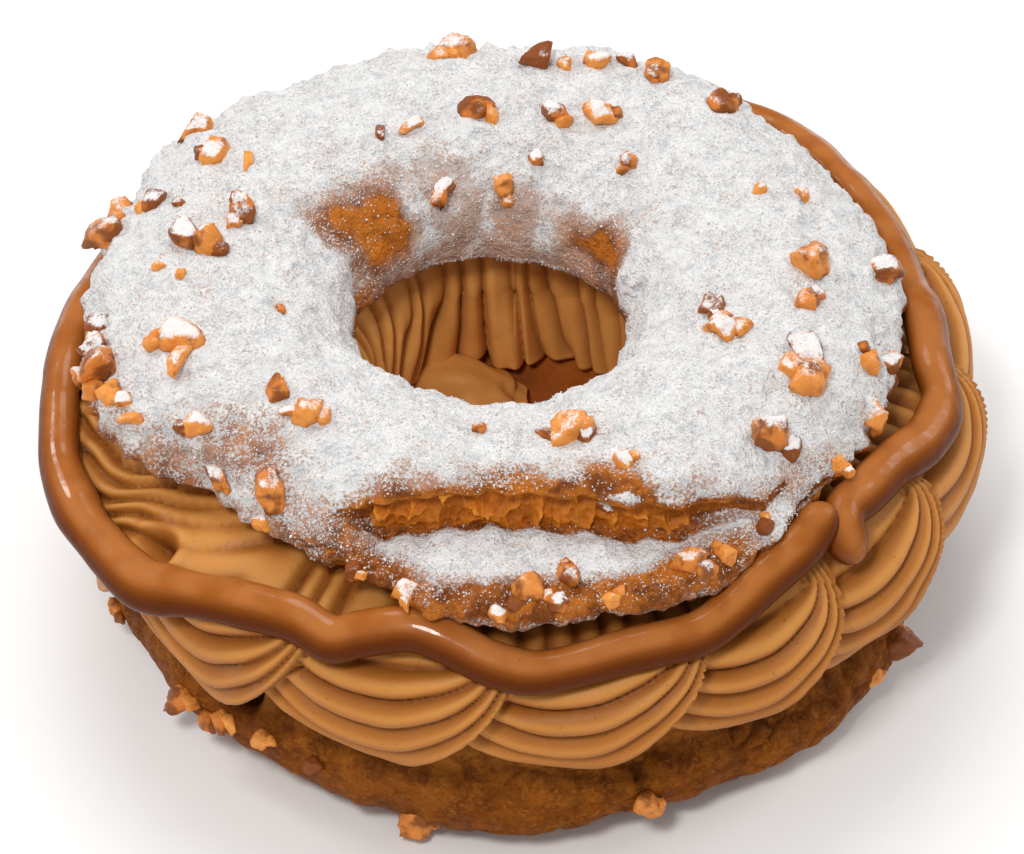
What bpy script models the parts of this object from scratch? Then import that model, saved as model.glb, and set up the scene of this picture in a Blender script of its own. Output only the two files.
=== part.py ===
"""Ring-shaped choux pastry: a choux ring cut level, filled with piped praline cream.

The base is the lower half of the ring, the lid is the upper half, and the cream between them is
piped in overlapping swags.  A bead of soft caramel runs round the shoulder of the cream.
Lengths are in metres, +Z is up, and the foot of the base lies on Z = 0.
Azimuth is measured from the front (-Y) towards the right (+X).
"""
import math

import bpy
import numpy as np

for old in list(bpy.data.objects):
    bpy.data.objects.remove(old, do_unlink=True)

MM = 0.001
GAP = 0.3 * MM

# ---------------------------------------------------------------- driving dimensions
# Choux base: the lower half of the ring.
BASE_RADIUS = 56.6 * MM
BASE_HOLE_RADIUS = 10.0 * MM
BASE_HEIGHT = 17.0 * MM
BASE_WIDEST_HEIGHT = 8.2 * MM
BASE_FOOT_OUTER = 43.5 * MM
BASE_FOOT_INNER = 15.0 * MM
BASE_TOP_EDGE = 53.0 * MM
BASE_SWELL = 0.8 * MM
BASE_SWELL_TOWARDS = math.radians(40.0)
BASE_TOP_SLOPE = 0.07
BASE_SEGMENTS = 54
# The rounded outer side, as angles on a quarter circle below and above its widest point.
BASE_SIDE_ANGLES = (-64.0, -38.0, -12.0, 16.0, 42.0)
# The wall of the hole, as shares of the hole's radius and of the height of the base.
BASE_HOLE_WALL = ((1.55, 0.88), (1.10, 0.58), (1.00, 0.32))
BASE_CUT_INNER_EDGE = 2.1 * BASE_HOLE_RADIUS

# Praline cream: a fat ring with an elliptical section, piped in swags.
CREAM_OFFSET_Y = -1.0 * MM
CREAM_MID_RADIUS = 41.0 * MM
CREAM_HALF_WIDTH = 21.9 * MM
CREAM_MID_HEIGHT = 29.0 * MM
CREAM_HALF_HEIGHT = 12.6 * MM
CREAM_SQUARENESS = 0.88
CREAM_FOOT_SQUARENESS = 0.74
SWAG_COUNT = 16
RIDGES_PER_SWAG = 4
SWAG_STEP = 2.8 * MM
RIDGE_DEPTH = 1.5 * MM
RIDGE_TURN = math.radians(34.0)
SWAG_START = math.radians(-4.0)
SWAG_UNEVENNESS = 0.10
SWAG_WIDEST_AT = math.radians(-25.0)
CREAM_OUTER_FOOT = math.radians(-66.0)
CREAM_SHOULDER = math.radians(40.0)
CREAM_OUTER_POINTS = 11
CREAM_TOP_POINTS = 4
CREAM_WALL_POINTS = 5
CREAM_WALL_RIDGE = 0.8
CREAM_UNDER_LID_INSET = 5.0 * MM

# Caramel bead: an oval cord laid on the shoulder of the cream.
BEAD_RADIUS = 58.2 * MM
BEAD_HEIGHT = 38.6 * MM
BEAD_WIDTH = 6.0 * MM
BEAD_THICKNESS = 4.4 * MM
BEAD_LEAN = math.radians(48.0)
BEAD_BED = 0.7 * MM
BEAD_BED_FLARE = 1.2
BEAD_STEPS = 96
BEAD_SIDES = 6
# Where the hand that piped the bead turned: azimuth in degrees, how far the bead has slid down
# the shoulder there, and how far it has sunk into the cream, in millimetres.  Between the turns
# it runs in smooth curves.
BEAD_TURNS = (
    (-155, -3.0, 4.0), (-120, -3.0, 4.0), (-98, -1.0, 2.0), (-85, 1.0, 0.0), (-71, 4.0, 0.0),
    (-53, 5.5, 0.0), (-40, 4.0, 0.0), (-27, 0.0, 0.0), (-21, 0.5, 0.0), (-13, -2.3, 0.0),
    (2, 2.5, 0.0), (18, 1.0, 0.0), (35, -3.0, 0.0), (50, -4.0, 0.5), (63, -4.0, 0.5),
    (76, -2.0, 0.5), (92, -6.0, 2.5), (118, -6.5, 2.5), (142, -3.0, 2.0), (175, -4.0, 4.0),
)

# Choux lid: the upper half of the ring, a little off centre, torn along its front.
LID_OFFSET_X = -2.9 * MM
LID_OFFSET_Y = -3.8 * MM
LID_RADIUS = 53.0 * MM
LID_HOLE_RADIUS = 18.4 * MM
LID_UNDERSIDE = 42.6 * MM
LID_LIP_HEIGHT = 39.8 * MM
LID_LIP_START = 26.0 * MM
LID_CROWN_RADIUS = 36.0 * MM
LID_CROWN_HEIGHT = 54.0 * MM
LID_RIM_HEIGHT = 44.2 * MM
LID_RIM_ROUNDING = 2.6 * MM
LID_RIM_CHAMFER = (0.3 * MM, 1.1 * MM)
LID_LIP_THICKNESS = 1.0 * MM
LID_LIP_SLOPE = 0.6 * MM
LID_RIM_UNEVENNESS = 0.7 * MM
LID_TOP_UNEVENNESS = 0.5 * MM
LID_FLAT_DEPTH = 5.2 * MM
LID_FLAT_AT = math.radians(-38.0)
LID_FLAT_HALF_WIDTH = math.radians(31.0)
LID_SWELL = 1.6 * MM
LID_SWELL_AT = math.radians(26.0)
LID_SWELL_HALF_WIDTH = math.radians(22.0)
LID_SEGMENTS = 64
TEAR_DISTANCE = 41.0 * MM
TEAR_DROP = 4.6 * MM
TEAR_FACE_DEPTH = 1.4 * MM
TEAR_LEDGE_START = 1.0 * MM
TEAR_LEDGE_RISE = 0.55
TEAR_LEFT_END = math.radians(-22.0)
TEAR_RIGHT_END = math.radians(43.0)
TEAR_TAPER = math.radians(14.0)
TEAR_WIDEST_ANGLE = math.radians(33.0)

# ---------------------------------------------------------------- looks
CRUST_BROWN = (0.36, 0.145, 0.035)
PRALINE_TAN = (0.52, 0.28, 0.11)
CARAMEL_BROWN = (0.38, 0.13, 0.035)
SUGARED_CRUST = (0.80, 0.74, 0.68)


def material(name, colour, roughness):
    """Plain Principled material with a colour and a roughness."""
    made = bpy.data.materials.new(name)
    made.use_nodes = True
    shader = made.node_tree.nodes["Principled BSDF"]
    shader.inputs["Base Color"].default_value = (*colour, 1.0)
    shader.inputs["Roughness"].default_value = roughness
    shader.inputs["Metallic"].default_value = 0.0
    made.diffuse_color = (*colour, 1.0)
    return made


def smoothstep(low, high, value):
    """Ease from 0 at low to 1 at high."""
    part = np.clip((value - low) / (high - low), 0.0, 1.0)
    return part * part * (3.0 - 2.0 * part)


def on_ring(azimuth, radius, height):
    """Points at an azimuth, a radius and a height, as X, Y, Z."""
    x = radius * np.sin(azimuth)
    y = -radius * np.cos(azimuth)
    return np.stack([x, y, height + 0.0 * x], axis=-1)


def signed_volume(points, quads):
    """Volume enclosed by the quads, negative where they face inwards."""
    total = 0.0
    for a, b, c in ((0, 1, 2), (0, 2, 3)):
        first, second, third = points[quads[:, a]], points[quads[:, b]], points[quads[:, c]]
        total += float(np.sum(first * np.cross(second, third))) / 6.0
    return total


def closed_ring(name, grid, look):
    """Object from a grid of points that closes both round the ring and round its section."""
    rounds, sides, _ = grid.shape
    number = np.arange(rounds * sides).reshape(rounds, sides)
    ahead = np.roll(number, -1, axis=0)
    quads = np.stack(
        [number, ahead, np.roll(ahead, -1, axis=1), np.roll(number, -1, axis=1)], axis=-1
    ).reshape(-1, 4)
    points = grid.reshape(-1, 3)
    if signed_volume(points, quads) < 0.0:
        quads = quads[:, ::-1]
    mesh = bpy.data.meshes.new(name)
    mesh.from_pydata(points.tolist(), [], quads.tolist())
    mesh.update()
    mesh.shade_smooth()
    mesh.materials.append(look)
    made = bpy.data.objects.new(name, mesh)
    bpy.context.scene.collection.objects.link(made)
    return made


def base_top(radius):
    """Height of the level cut across the base, a little higher towards the hole."""
    return BASE_HEIGHT + BASE_TOP_SLOPE * (BASE_TOP_EDGE - radius)


def lid_underside(radius):
    """Height of the underside of the lid, which droops towards its hole."""
    droop = smoothstep(LID_LIP_START, LID_HOLE_RADIUS, radius)
    return LID_UNDERSIDE - (LID_UNDERSIDE - LID_LIP_HEIGHT) * droop


def base_section():
    """Outline of the base: flat foot, rounded outer side, level cut, slope into the hole."""
    outline = [(BASE_FOOT_INNER, 0.0), (0.5 * (BASE_FOOT_INNER + BASE_FOOT_OUTER), 0.0)]
    outline.append((BASE_FOOT_OUTER, 0.0))
    corner = BASE_RADIUS - BASE_FOOT_OUTER
    for angle in np.radians(BASE_SIDE_ANGLES):
        reach = BASE_WIDEST_HEIGHT if angle < 0.0 else BASE_HEIGHT - BASE_WIDEST_HEIGHT
        radius = BASE_RADIUS - corner * (1.0 - math.cos(angle))
        outline.append((radius, BASE_WIDEST_HEIGHT + reach * math.sin(angle)))
    outline.append((BASE_TOP_EDGE, base_top(BASE_TOP_EDGE)))
    middle = 0.5 * (BASE_TOP_EDGE + BASE_CUT_INNER_EDGE)
    outline.append((middle, base_top(middle)))
    outline.append((BASE_CUT_INNER_EDGE, base_top(BASE_CUT_INNER_EDGE)))
    for out, up in BASE_HOLE_WALL:
        outline.append((out * BASE_HOLE_RADIUS, up * BASE_HEIGHT))
    return np.array(outline)


def make_base():
    """Base: the section carried round the ring, its side swelling and sinking slightly."""
    outline = base_section()
    azimuth = np.linspace(0.0, 2.0 * math.pi, BASE_SEGMENTS, endpoint=False)[:, None]
    radius, height = outline[None, :, 0], outline[None, :, 1]
    on_side = smoothstep(BASE_FOOT_OUTER, BASE_RADIUS, radius)
    uneven = 0.5 * np.sin(3.0 * azimuth + 0.7) + 0.4 * np.sin(7.0 * azimuth + 2.1)
    swell = BASE_SWELL * np.cos(azimuth - BASE_SWELL_TOWARDS)
    grid = on_ring(azimuth, radius + on_side * (uneven * MM + swell), height)
    return closed_ring("choux_base", grid, material("crust", CRUST_BROWN, 0.62))


def swag_azimuth(turn):
    """Azimuth at a turn round the ring; the swags are wider on one side than the other."""
    return turn + SWAG_UNEVENNESS * np.sin(turn - SWAG_WIDEST_AT) + SWAG_START


def ridge_profile(part):
    """Height of the piped ridges across one swag, for part from 0 to 1.

    Every swag rises along its width and ends in a step, where the next one starts beneath it.
    """
    ridge = -0.5 * RIDGE_DEPTH * (1.0 + np.cos(2.0 * math.pi * RIDGES_PER_SWAG * part))
    step = SWAG_STEP * (smoothstep(0.0, 0.9, part) - 1.0)
    return ridge + step * (part > 0.0) - SWAG_STEP * (part == 0.0)


def bead_path(azimuth):
    """Radius and height of the middle of the caramel bead at an azimuth.

    The path slides along the slope of the shoulder, outwards and down or inwards and up, and
    eases from each turn to the next by half a cosine wave.
    """
    turns = np.array(BEAD_TURNS + ((BEAD_TURNS[0][0] + 360, *BEAD_TURNS[0][1:]),))
    degrees = (np.degrees(azimuth) - turns[0, 0]) % 360.0 + turns[0, 0]
    last = np.clip(np.searchsorted(turns[:, 0], degrees, side="right"), 1, len(turns) - 1)
    before, after = turns[last - 1], turns[last]
    part = (degrees - before[..., 0]) / (after[..., 0] - before[..., 0])
    ease = 0.5 - 0.5 * np.cos(math.pi * part)
    slide, sink = MM * np.moveaxis(before + ease[..., None] * (after - before), -1, 0)[1:]
    path_z = BEAD_HEIGHT - slide * math.cos(BEAD_LEAN) - sink
    return BEAD_RADIUS + slide * math.sin(BEAD_LEAN), path_z


def pressed_by_bead(azimuth, radius, height):
    """Radius and height of the cream, pushed in where the bead lies on it."""
    path_r, path_z = bead_path(azimuth)
    off_r, off_z = radius - path_r, height - path_z
    along = off_r * math.sin(BEAD_LEAN) - off_z * math.cos(BEAD_LEAN)
    away = off_r * math.cos(BEAD_LEAN) + off_z * math.sin(BEAD_LEAN)
    beside = np.maximum(np.abs(along) - 0.5 * BEAD_WIDTH, 0.0)
    highest = BEAD_BED_FLARE * beside - 0.5 * BEAD_THICKNESS - BEAD_BED
    push = np.minimum(highest - away, 0.0)
    return radius + push * math.cos(BEAD_LEAN), height + push * math.sin(BEAD_LEAN)


def make_cream():
    """Cream: lines that follow the piped ridges, which sweep up to the right on the outer side."""
    lines = SWAG_COUNT * RIDGES_PER_SWAG * 2
    line = np.arange(lines)
    part = (line % (2 * RIDGES_PER_SWAG)) / (2.0 * RIDGES_PER_SWAG)
    turn = 2.0 * math.pi * line / lines
    # The section starts under the outer edge, climbs the outer side, crosses the top and
    # comes back down the wall of the hole.
    outer = np.linspace(CREAM_OUTER_FOOT, CREAM_SHOULDER, CREAM_OUTER_POINTS)
    top = np.radians(np.linspace(60.0, 145.0, CREAM_TOP_POINTS))
    wall = np.radians(np.linspace(163.0, 238.0, CREAM_WALL_POINTS))
    angle = np.concatenate([outer, top, wall])
    cosine, sine = np.cos(angle), np.sin(angle)
    squareness = np.where(sine < 0.0, CREAM_FOOT_SQUARENESS, CREAM_SQUARENESS)
    radius = CREAM_MID_RADIUS + CREAM_HALF_WIDTH * np.sign(cosine) * np.abs(cosine) ** squareness
    height = CREAM_MID_HEIGHT + CREAM_HALF_HEIGHT * np.sign(sine) * np.abs(sine) ** squareness
    normal_r = cosine / CREAM_HALF_WIDTH
    normal_z = sine / CREAM_HALF_HEIGHT
    length = np.hypot(normal_r, normal_z)
    normal_r, normal_z = normal_r / length, normal_z / length
    # Ridges turn most near the foot of the outer side and stand upright at the shoulder.
    climb = np.clip((angle - CREAM_OUTER_FOOT) / (CREAM_SHOULDER - CREAM_OUTER_FOOT), 0.0, 1.0)
    twist = -RIDGE_TURN * (1.0 - climb) ** 1.5
    azimuth = swag_azimuth(turn[:, None] + twist[None, :])
    on_wall = (cosine < 0.0)[None, :]
    outer_relief = ridge_profile(part)[:, None]
    wall_relief = -0.5 * RIDGE_DEPTH * (1.0 + np.cos(math.pi * RIDGES_PER_SWAG * part))[:, None]
    relief = np.where(on_wall, CREAM_WALL_RIDGE * wall_relief, outer_relief)
    radii = radius[None, :] + relief * normal_r[None, :]
    heights = height[None, :] + relief * normal_z[None, :]
    radii, heights = pressed_by_bead(azimuth, radii, heights)
    over_base = radii < BASE_RADIUS + GAP
    floor = np.where(over_base, base_top(radii) + GAP, BASE_HEIGHT - GAP)
    heights = np.maximum(heights, floor)
    heights = np.minimum(heights, lid_underside(radii - CREAM_UNDER_LID_INSET) - GAP)
    grid = on_ring(azimuth, radii, heights)
    grid[..., 1] += CREAM_OFFSET_Y
    return closed_ring("praline_cream", grid, material("praline", PRALINE_TAN, 0.5))


def make_bead():
    """Caramel bead: an oval section carried along a path that wanders on the shoulder."""
    azimuth = np.linspace(0.0, 2.0 * math.pi, BEAD_STEPS, endpoint=False)[:, None]
    path_r, path_z = bead_path(azimuth)
    angle = (2.0 * math.pi * (np.arange(BEAD_SIDES) + 0.5) / BEAD_SIDES)[None, :]
    along = 0.5 * BEAD_WIDTH * np.cos(angle)
    away = 0.5 * BEAD_THICKNESS * np.sin(angle)
    radius = path_r + along * math.sin(BEAD_LEAN) + away * math.cos(BEAD_LEAN)
    height = path_z - along * math.cos(BEAD_LEAN) + away * math.sin(BEAD_LEAN)
    grid = on_ring(azimuth, radius, height)
    grid[..., 1] += CREAM_OFFSET_Y
    return closed_ring("caramel_bead", grid, material("caramel", CARAMEL_BROWN, 0.18))


def lid_dome(radius):
    """Height of the top of the lid: a quarter ellipse out to the rim, and another to the hole."""
    outward = np.clip((radius - LID_CROWN_RADIUS) / (LID_RADIUS - LID_CROWN_RADIUS), 0.0, 1.0)
    inward = np.clip((LID_CROWN_RADIUS - radius) / (LID_CROWN_RADIUS - LID_HOLE_RADIUS), 0.0, 1.0)
    outer_fall = (LID_CROWN_HEIGHT - LID_RIM_HEIGHT) * (1.0 - np.sqrt(1.0 - outward**2))
    inner_fall = (LID_CROWN_HEIGHT - LID_LIP_HEIGHT - LID_LIP_THICKNESS) * (1.0 - np.sqrt(1.0 - inward**2))
    return LID_CROWN_HEIGHT - outer_fall - inner_fall


def bump(azimuth, middle, half_width):
    """Smooth hump of height 1 at an azimuth, falling to 0 at its half width."""
    return 1.0 - smoothstep(0.35 * half_width, half_width, np.abs(azimuth - middle))


def make_lid():
    """Lid: a domed ring torn along a straight line at its front, where a lower ledge shows."""
    azimuth = np.linspace(-math.pi, math.pi, LID_SEGMENTS, endpoint=False)
    # The tear is a straight line seen from above, so its radius grows away from the front.
    tear_angle = np.clip(azimuth, TEAR_LEFT_END, TEAR_WIDEST_ANGLE)
    tear_radius = TEAR_DISTANCE / np.cos(tear_angle)
    opening = smoothstep(TEAR_LEFT_END, TEAR_LEFT_END + TEAR_TAPER, azimuth)
    opening = opening * (1.0 - smoothstep(TEAR_RIGHT_END - TEAR_TAPER, TEAR_RIGHT_END, azimuth))
    rim = LID_RADIUS + LID_RIM_UNEVENNESS * (
        0.6 * np.sin(5.0 * azimuth + 0.4) + 0.5 * np.sin(11.0 * azimuth + 1.3)
    )
    rim = rim - LID_FLAT_DEPTH * bump(azimuth, LID_FLAT_AT, LID_FLAT_HALF_WIDTH)
    rim = rim + LID_SWELL * bump(azimuth, LID_SWELL_AT, LID_SWELL_HALF_WIDTH)
    columns = []
    for turn, tear, open_part, edge in zip(azimuth, tear_radius, opening, rim):
        drop = TEAR_DROP * open_part
        face = TEAR_FACE_DEPTH * open_part
        column = [(LID_LIP_START, lid_underside(LID_LIP_START))]
        column.append((0.5 * (LID_LIP_START + LID_RADIUS), LID_UNDERSIDE))
        column.append((edge - LID_RIM_ROUNDING, LID_UNDERSIDE))
        column.append((edge - LID_RIM_CHAMFER[0], LID_UNDERSIDE + LID_RIM_CHAMFER[1]))
        column.append((edge, LID_RIM_HEIGHT))
        ledge_foot = tear + TEAR_LEDGE_START
        for share in (0.75, 0.4):
            radius = ledge_foot + share * (edge - ledge_foot)
            scaled = LID_RADIUS * radius / edge
            column.append((radius, lid_dome(scaled) - drop * (1.0 - TEAR_LEDGE_RISE * share)))
        column.append((ledge_foot - face, lid_dome(ledge_foot) - drop))
        column.append((tear, lid_dome(tear)))
        for share in (0.3, 0.55, 0.75, 0.9, 1.0):
            radius = tear + share * (LID_HOLE_RADIUS + LID_LIP_SLOPE - tear)
            column.append((radius, lid_dome(radius)))
        column.append((LID_HOLE_RADIUS, LID_LIP_HEIGHT))
        columns.append(column)
    outline = np.array(columns)
    radius, height = outline[..., 0], outline[..., 1]
    lift = smoothstep(LID_RIM_HEIGHT, LID_CROWN_HEIGHT, height)
    uneven = np.sin(4.0 * azimuth + 2.0) + 0.6 * np.sin(9.0 * azimuth + 0.3)
    height = height + LID_TOP_UNEVENNESS * lift * uneven[:, None]
    grid = on_ring(azimuth[:, None], radius, height)
    grid[..., 0] += LID_OFFSET_X
    grid[..., 1] += LID_OFFSET_Y
    return closed_ring("choux_lid", grid, material("sugared_crust", SUGARED_CRUST, 0.8))


def recentre(pieces):
    """Slides every piece by the same amount, so the box round them is centred on X = Y = 0."""
    corners = []
    for piece in pieces:
        flat = np.empty(len(piece.data.vertices) * 3)
        piece.data.vertices.foreach_get("co", flat)
        corners.append(flat.reshape(-1, 3))
    every = np.concatenate(corners)
    middle = 0.5 * (every.min(axis=0) + every.max(axis=0))
    for piece, points in zip(pieces, corners):
        points[:, 0] -= middle[0]
        points[:, 1] -= middle[1]
        piece.data.vertices.foreach_set("co", points.ravel())
        piece.data.update()


recentre([make_base(), make_cream(), make_bead(), make_lid()])
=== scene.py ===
"""Ring-shaped choux pastry with piped praline cream, a caramel ribbon, icing sugar and nuts.

Every solid of the packed model is replaced by a detailed surface worked out with numpy, and the
toppings are added on them.  Lengths are in metres, +Z is up and the front is towards -Y.
Azimuth is measured from the front towards +X; a section runs up the outer side of the ring,
inwards over its top, and down its inner side.
"""
import math

import bpy
import numpy as np
from bpy.props import FloatProperty, FloatVectorProperty, IntProperty, PointerProperty
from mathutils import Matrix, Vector


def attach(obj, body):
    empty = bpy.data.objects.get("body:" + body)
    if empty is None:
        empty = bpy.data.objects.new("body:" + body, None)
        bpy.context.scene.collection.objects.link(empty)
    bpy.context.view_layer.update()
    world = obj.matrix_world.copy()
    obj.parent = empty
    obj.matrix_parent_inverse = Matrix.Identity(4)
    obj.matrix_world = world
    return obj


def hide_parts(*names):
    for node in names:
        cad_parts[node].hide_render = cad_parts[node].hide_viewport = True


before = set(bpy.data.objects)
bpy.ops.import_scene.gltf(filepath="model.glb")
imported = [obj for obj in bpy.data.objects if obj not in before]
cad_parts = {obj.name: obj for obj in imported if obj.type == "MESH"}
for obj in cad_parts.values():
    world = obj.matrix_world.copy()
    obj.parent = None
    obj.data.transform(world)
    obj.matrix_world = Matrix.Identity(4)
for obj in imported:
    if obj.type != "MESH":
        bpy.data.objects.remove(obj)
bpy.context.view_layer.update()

bl_info = {
    "name": "Filled choux ring",
    "version": (1, 0, 0),
    "blender": (4, 5, 0),
    "location": "3D View > Sidebar > Pastry",
    "description": "Builds a choux ring filled with piped praline cream round a packed model",
    "category": "Add Mesh",
}

MM = 0.001
FULL_TURN = 2.0 * math.pi

# The three rings don't share a middle: the lid was set down a little off centre.
BASE_MIDDLE = np.array([0.3, 0.9]) * MM
CREAM_MIDDLE = np.array([0.3, -0.1]) * MM
LID_MIDDLE = np.array([-2.6, -2.9]) * MM


# ------------------------------------------------------------------ numbers on surfaces
def clamp(value):
    """The value, kept from 0 to 1."""
    return np.clip(value, 0.0, 1.0)


def joined(*parts):
    """Numbers spread to one shape and put side by side along a last axis."""
    return np.stack(np.broadcast_arrays(*parts), axis=-1)


def closed(rows, inner):
    """Rows of a section and, after them, the numbers that close it, alike in every column."""
    return np.concatenate([rows, np.broadcast_to(inner, (len(rows), len(inner)))], axis=1)


def ease(low, high, value):
    """Rise from 0 at low to 1 at high along the cubic 3t^2 - 2t^3."""
    part = clamp((value - low) / (high - low))
    return part * part * (3.0 - 2.0 * part)


def hashed(cells, seed):
    """Number from 0 to 1 for each whole-numbered cell: its coordinates multiplied and mixed."""
    number = cells[..., 0] * 73856093 ^ cells[..., 1] * 19349663 ^ cells[..., 2] * 83492791
    number = (number + seed * 362437) & 0xFFFFFFFF
    for _ in range(2):
        number = ((number >> 16) ^ number) * 0x45D9F3B & 0xFFFFFFFF
    return ((number >> 16) ^ number) / 4294967296.0


def noise(points, size, seed=0):
    """Smooth noise from -1 to 1: hashed corners of cubes of a size, blended by a quintic."""
    scaled = points / size
    base = np.floor(scaled).astype(np.int64)
    part = scaled - base
    blend = part**3 * (part * (part * 6.0 - 15.0) + 10.0)
    total = 0.0
    for corner in np.ndindex(2, 2, 2):
        weight = np.prod(np.where(np.array(corner, dtype=bool), blend, 1.0 - blend), axis=-1)
        total = total + weight * hashed(base + np.array(corner), seed)
    return 2.0 * total - 1.0


def lumps(points, layers, seed=0):
    """Sum of noises, each layer given as its size in millimetres and its height."""
    total = 0.0
    for number, (size, height) in enumerate(layers):
        total = total + height * noise(points, size * MM, seed + 7 * number)
    return total


def pores(points, size, seed=0):
    """Distances to the nearest and the second nearest of the points hashed one to a cube."""
    scaled = points / size
    base = np.floor(scaled).astype(np.int64)
    first = np.full(scaled.shape[:-1], 9.0)
    second = np.full(scaled.shape[:-1], 9.0)
    for step in np.ndindex(3, 3, 3):
        cell = base + np.array(step) - 1
        spot = np.stack([hashed(cell, seed + axis) for axis in range(3)], axis=-1)
        far = np.linalg.norm(cell + spot - scaled, axis=-1)
        second = np.minimum(second, np.maximum(first, far))
        first = np.minimum(first, far)
    return first, second


def bubbles(across, up, size, seed=0):
    """Distance, over the size, to the nearest of the points strewn one to a square of a plane."""
    scaled = joined(across / size, 0.0, up / size)
    base = np.floor(scaled).astype(np.int64)
    nearest = np.full(across.shape, 9.0)
    for step in np.ndindex(3, 3):
        cell = base + np.array([step[0] - 1, 0, step[1] - 1])
        spot = np.stack([0.15 + 0.7 * hashed(cell, seed + axis) for axis in range(2)], axis=-1)
        off = (cell - scaled)[..., [0, 2]] + spot
        nearest = np.minimum(nearest, np.linalg.norm(off, axis=-1))
    return nearest


def spline_rows(keys, counts):
    """Closed curve through keys, with so many rows from each key to the next.

    It is a cubic Hermite curve whose velocity at a key weighs the chords on both sides by the
    other's length, so that it doesn't overshoot where a short step meets a long one.
    """
    number = len(counts)
    which = np.repeat(np.arange(number), counts)
    part = np.concatenate([np.arange(count) / count for count in counts])[:, None]
    chord = np.roll(keys, -1, axis=-2) - keys
    length = np.maximum(np.linalg.norm(chord, axis=-1, keepdims=True), 1e-7)
    before, length_before = np.roll(chord / length, 1, axis=-2), np.roll(length, 1, axis=-2)
    velocity = (before * length + chord / length * length_before) / (length + length_before)
    start, end = np.take(keys, which, axis=-2), np.take(keys, (which + 1) % number, axis=-2)
    span = np.take(length, which, axis=-2)
    leave = np.take(velocity, which, axis=-2) * span
    arrive = np.take(velocity, (which + 1) % number, axis=-2) * span
    return (
        (1.0 + 2.0 * part) * (1.0 - part) ** 2 * start
        + part * (1.0 - part) ** 2 * leave
        + part**2 * (3.0 - 2.0 * part) * end
        + part**2 * (part - 1.0) * arrive
    )


def on_ring(azimuth, radius, height, middle):
    """Points of a ring about a middle, as X, Y, Z."""
    x = middle[0] + radius * np.sin(azimuth)
    y = middle[1] - radius * np.cos(azimuth)
    return joined(x, y, height)


def run_length(*line):
    """Length along a line from its start to each of its points, given as X, Y and so on."""
    steps = np.linalg.norm(np.diff(np.array(line), axis=1), axis=0)
    return np.concatenate([[0.0], np.cumsum(steps)])


def azimuths(count):
    """Column of evenly spaced azimuths round the ring."""
    return np.linspace(-math.pi, math.pi, count, endpoint=False)[:, None]


def turned(angle, middle, half_width):
    """Smooth hump of height 1 round the ring at a middle azimuth, all in degrees."""
    off = np.abs((np.degrees(angle) - middle + 180.0) % 360.0 - 180.0)
    return 1.0 - ease(0.25 * half_width, half_width, off)


def outward(grid):
    """Unit normals of a grid that closes both ways, columns round the ring, rows up its side."""
    across = np.roll(grid, -1, axis=0) - np.roll(grid, 1, axis=0)
    along = np.roll(grid, -1, axis=1) - np.roll(grid, 1, axis=1)
    normal = np.cross(across, along)
    return normal / np.maximum(np.linalg.norm(normal, axis=-1, keepdims=True), 1e-12)


def ridge_profile(across, peak, behind, power=1.0):
    """Piped ridge from 0 to 1: a quarter sine up to its peak, a quarter circle down behind it."""
    rise = np.sin(0.5 * math.pi * clamp(across / peak)) ** power
    fall = np.sqrt(clamp(1.0 - (clamp(across - peak) / behind) ** 2))
    return np.minimum(rise, fall)


def ball_points(rings, sides):
    """Points of a ball of radius 1: its rings from the top down, then its two poles."""
    polar = (math.pi * (np.arange(rings) + 1.0) / (rings + 1.0))[:, None]
    turn = FULL_TURN * np.arange(sides) / sides
    ring = joined(np.sin(polar) * np.cos(turn), np.sin(polar) * np.sin(turn), np.cos(polar))
    return np.concatenate([ring.reshape(-1, 3), [[0.0, 0.0, 1.0], [0.0, 0.0, -1.0]]])


# ------------------------------------------------------------------ meshes
def torus_faces(columns, rows):
    """Quads of a grid that closes both ways."""
    number = np.arange(columns * rows).reshape(columns, rows)
    ahead = np.roll(number, -1, axis=0)
    quads = [number, ahead, np.roll(ahead, -1, axis=1), np.roll(number, -1, axis=1)]
    return [np.stack(quads, axis=-1).reshape(-1, 4)]


def capsule_faces(shapes, rings, sides):
    """Faces of shapes made of rings of sides closed by a pole at each end.

    Each shape's points are its rings in order, then its first pole and its last.
    """
    each = rings * sides + 2
    number = np.arange(rings * sides).reshape(rings, sides)
    beside = np.roll(number, -1, axis=1)
    quads = np.stack([number[:-1], beside[:-1], beside[1:], number[1:]], axis=-1).reshape(-1, 4)
    first = np.full(sides, rings * sides)
    bottom = np.stack([beside[0], number[0], first], axis=-1)
    top = np.stack([number[-1], beside[-1], first + 1], axis=-1)
    start = (np.arange(shapes) * each)[:, None, None]
    caps = np.concatenate([bottom, top])
    return [(quads[None] + start).reshape(-1, 4), (caps[None] + start).reshape(-1, 3)]


def volume(points, faces):
    """Volume within the faces, negative where they face inwards."""
    total = 0.0
    for group in faces:
        a, b, c = (points[group[:, corner]] for corner in (0, 1, 2))
        total += float(np.sum(a * np.cross(b, c)))
        if group.shape[1] == 4:
            total += float(np.sum(a * np.cross(c, points[group[:, 3]])))
    return total / 6.0


def outward_faces(points, faces):
    """The faces, turned over if they face inwards."""
    return faces if volume(points, faces) >= 0.0 else [group[:, ::-1] for group in faces]


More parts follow.
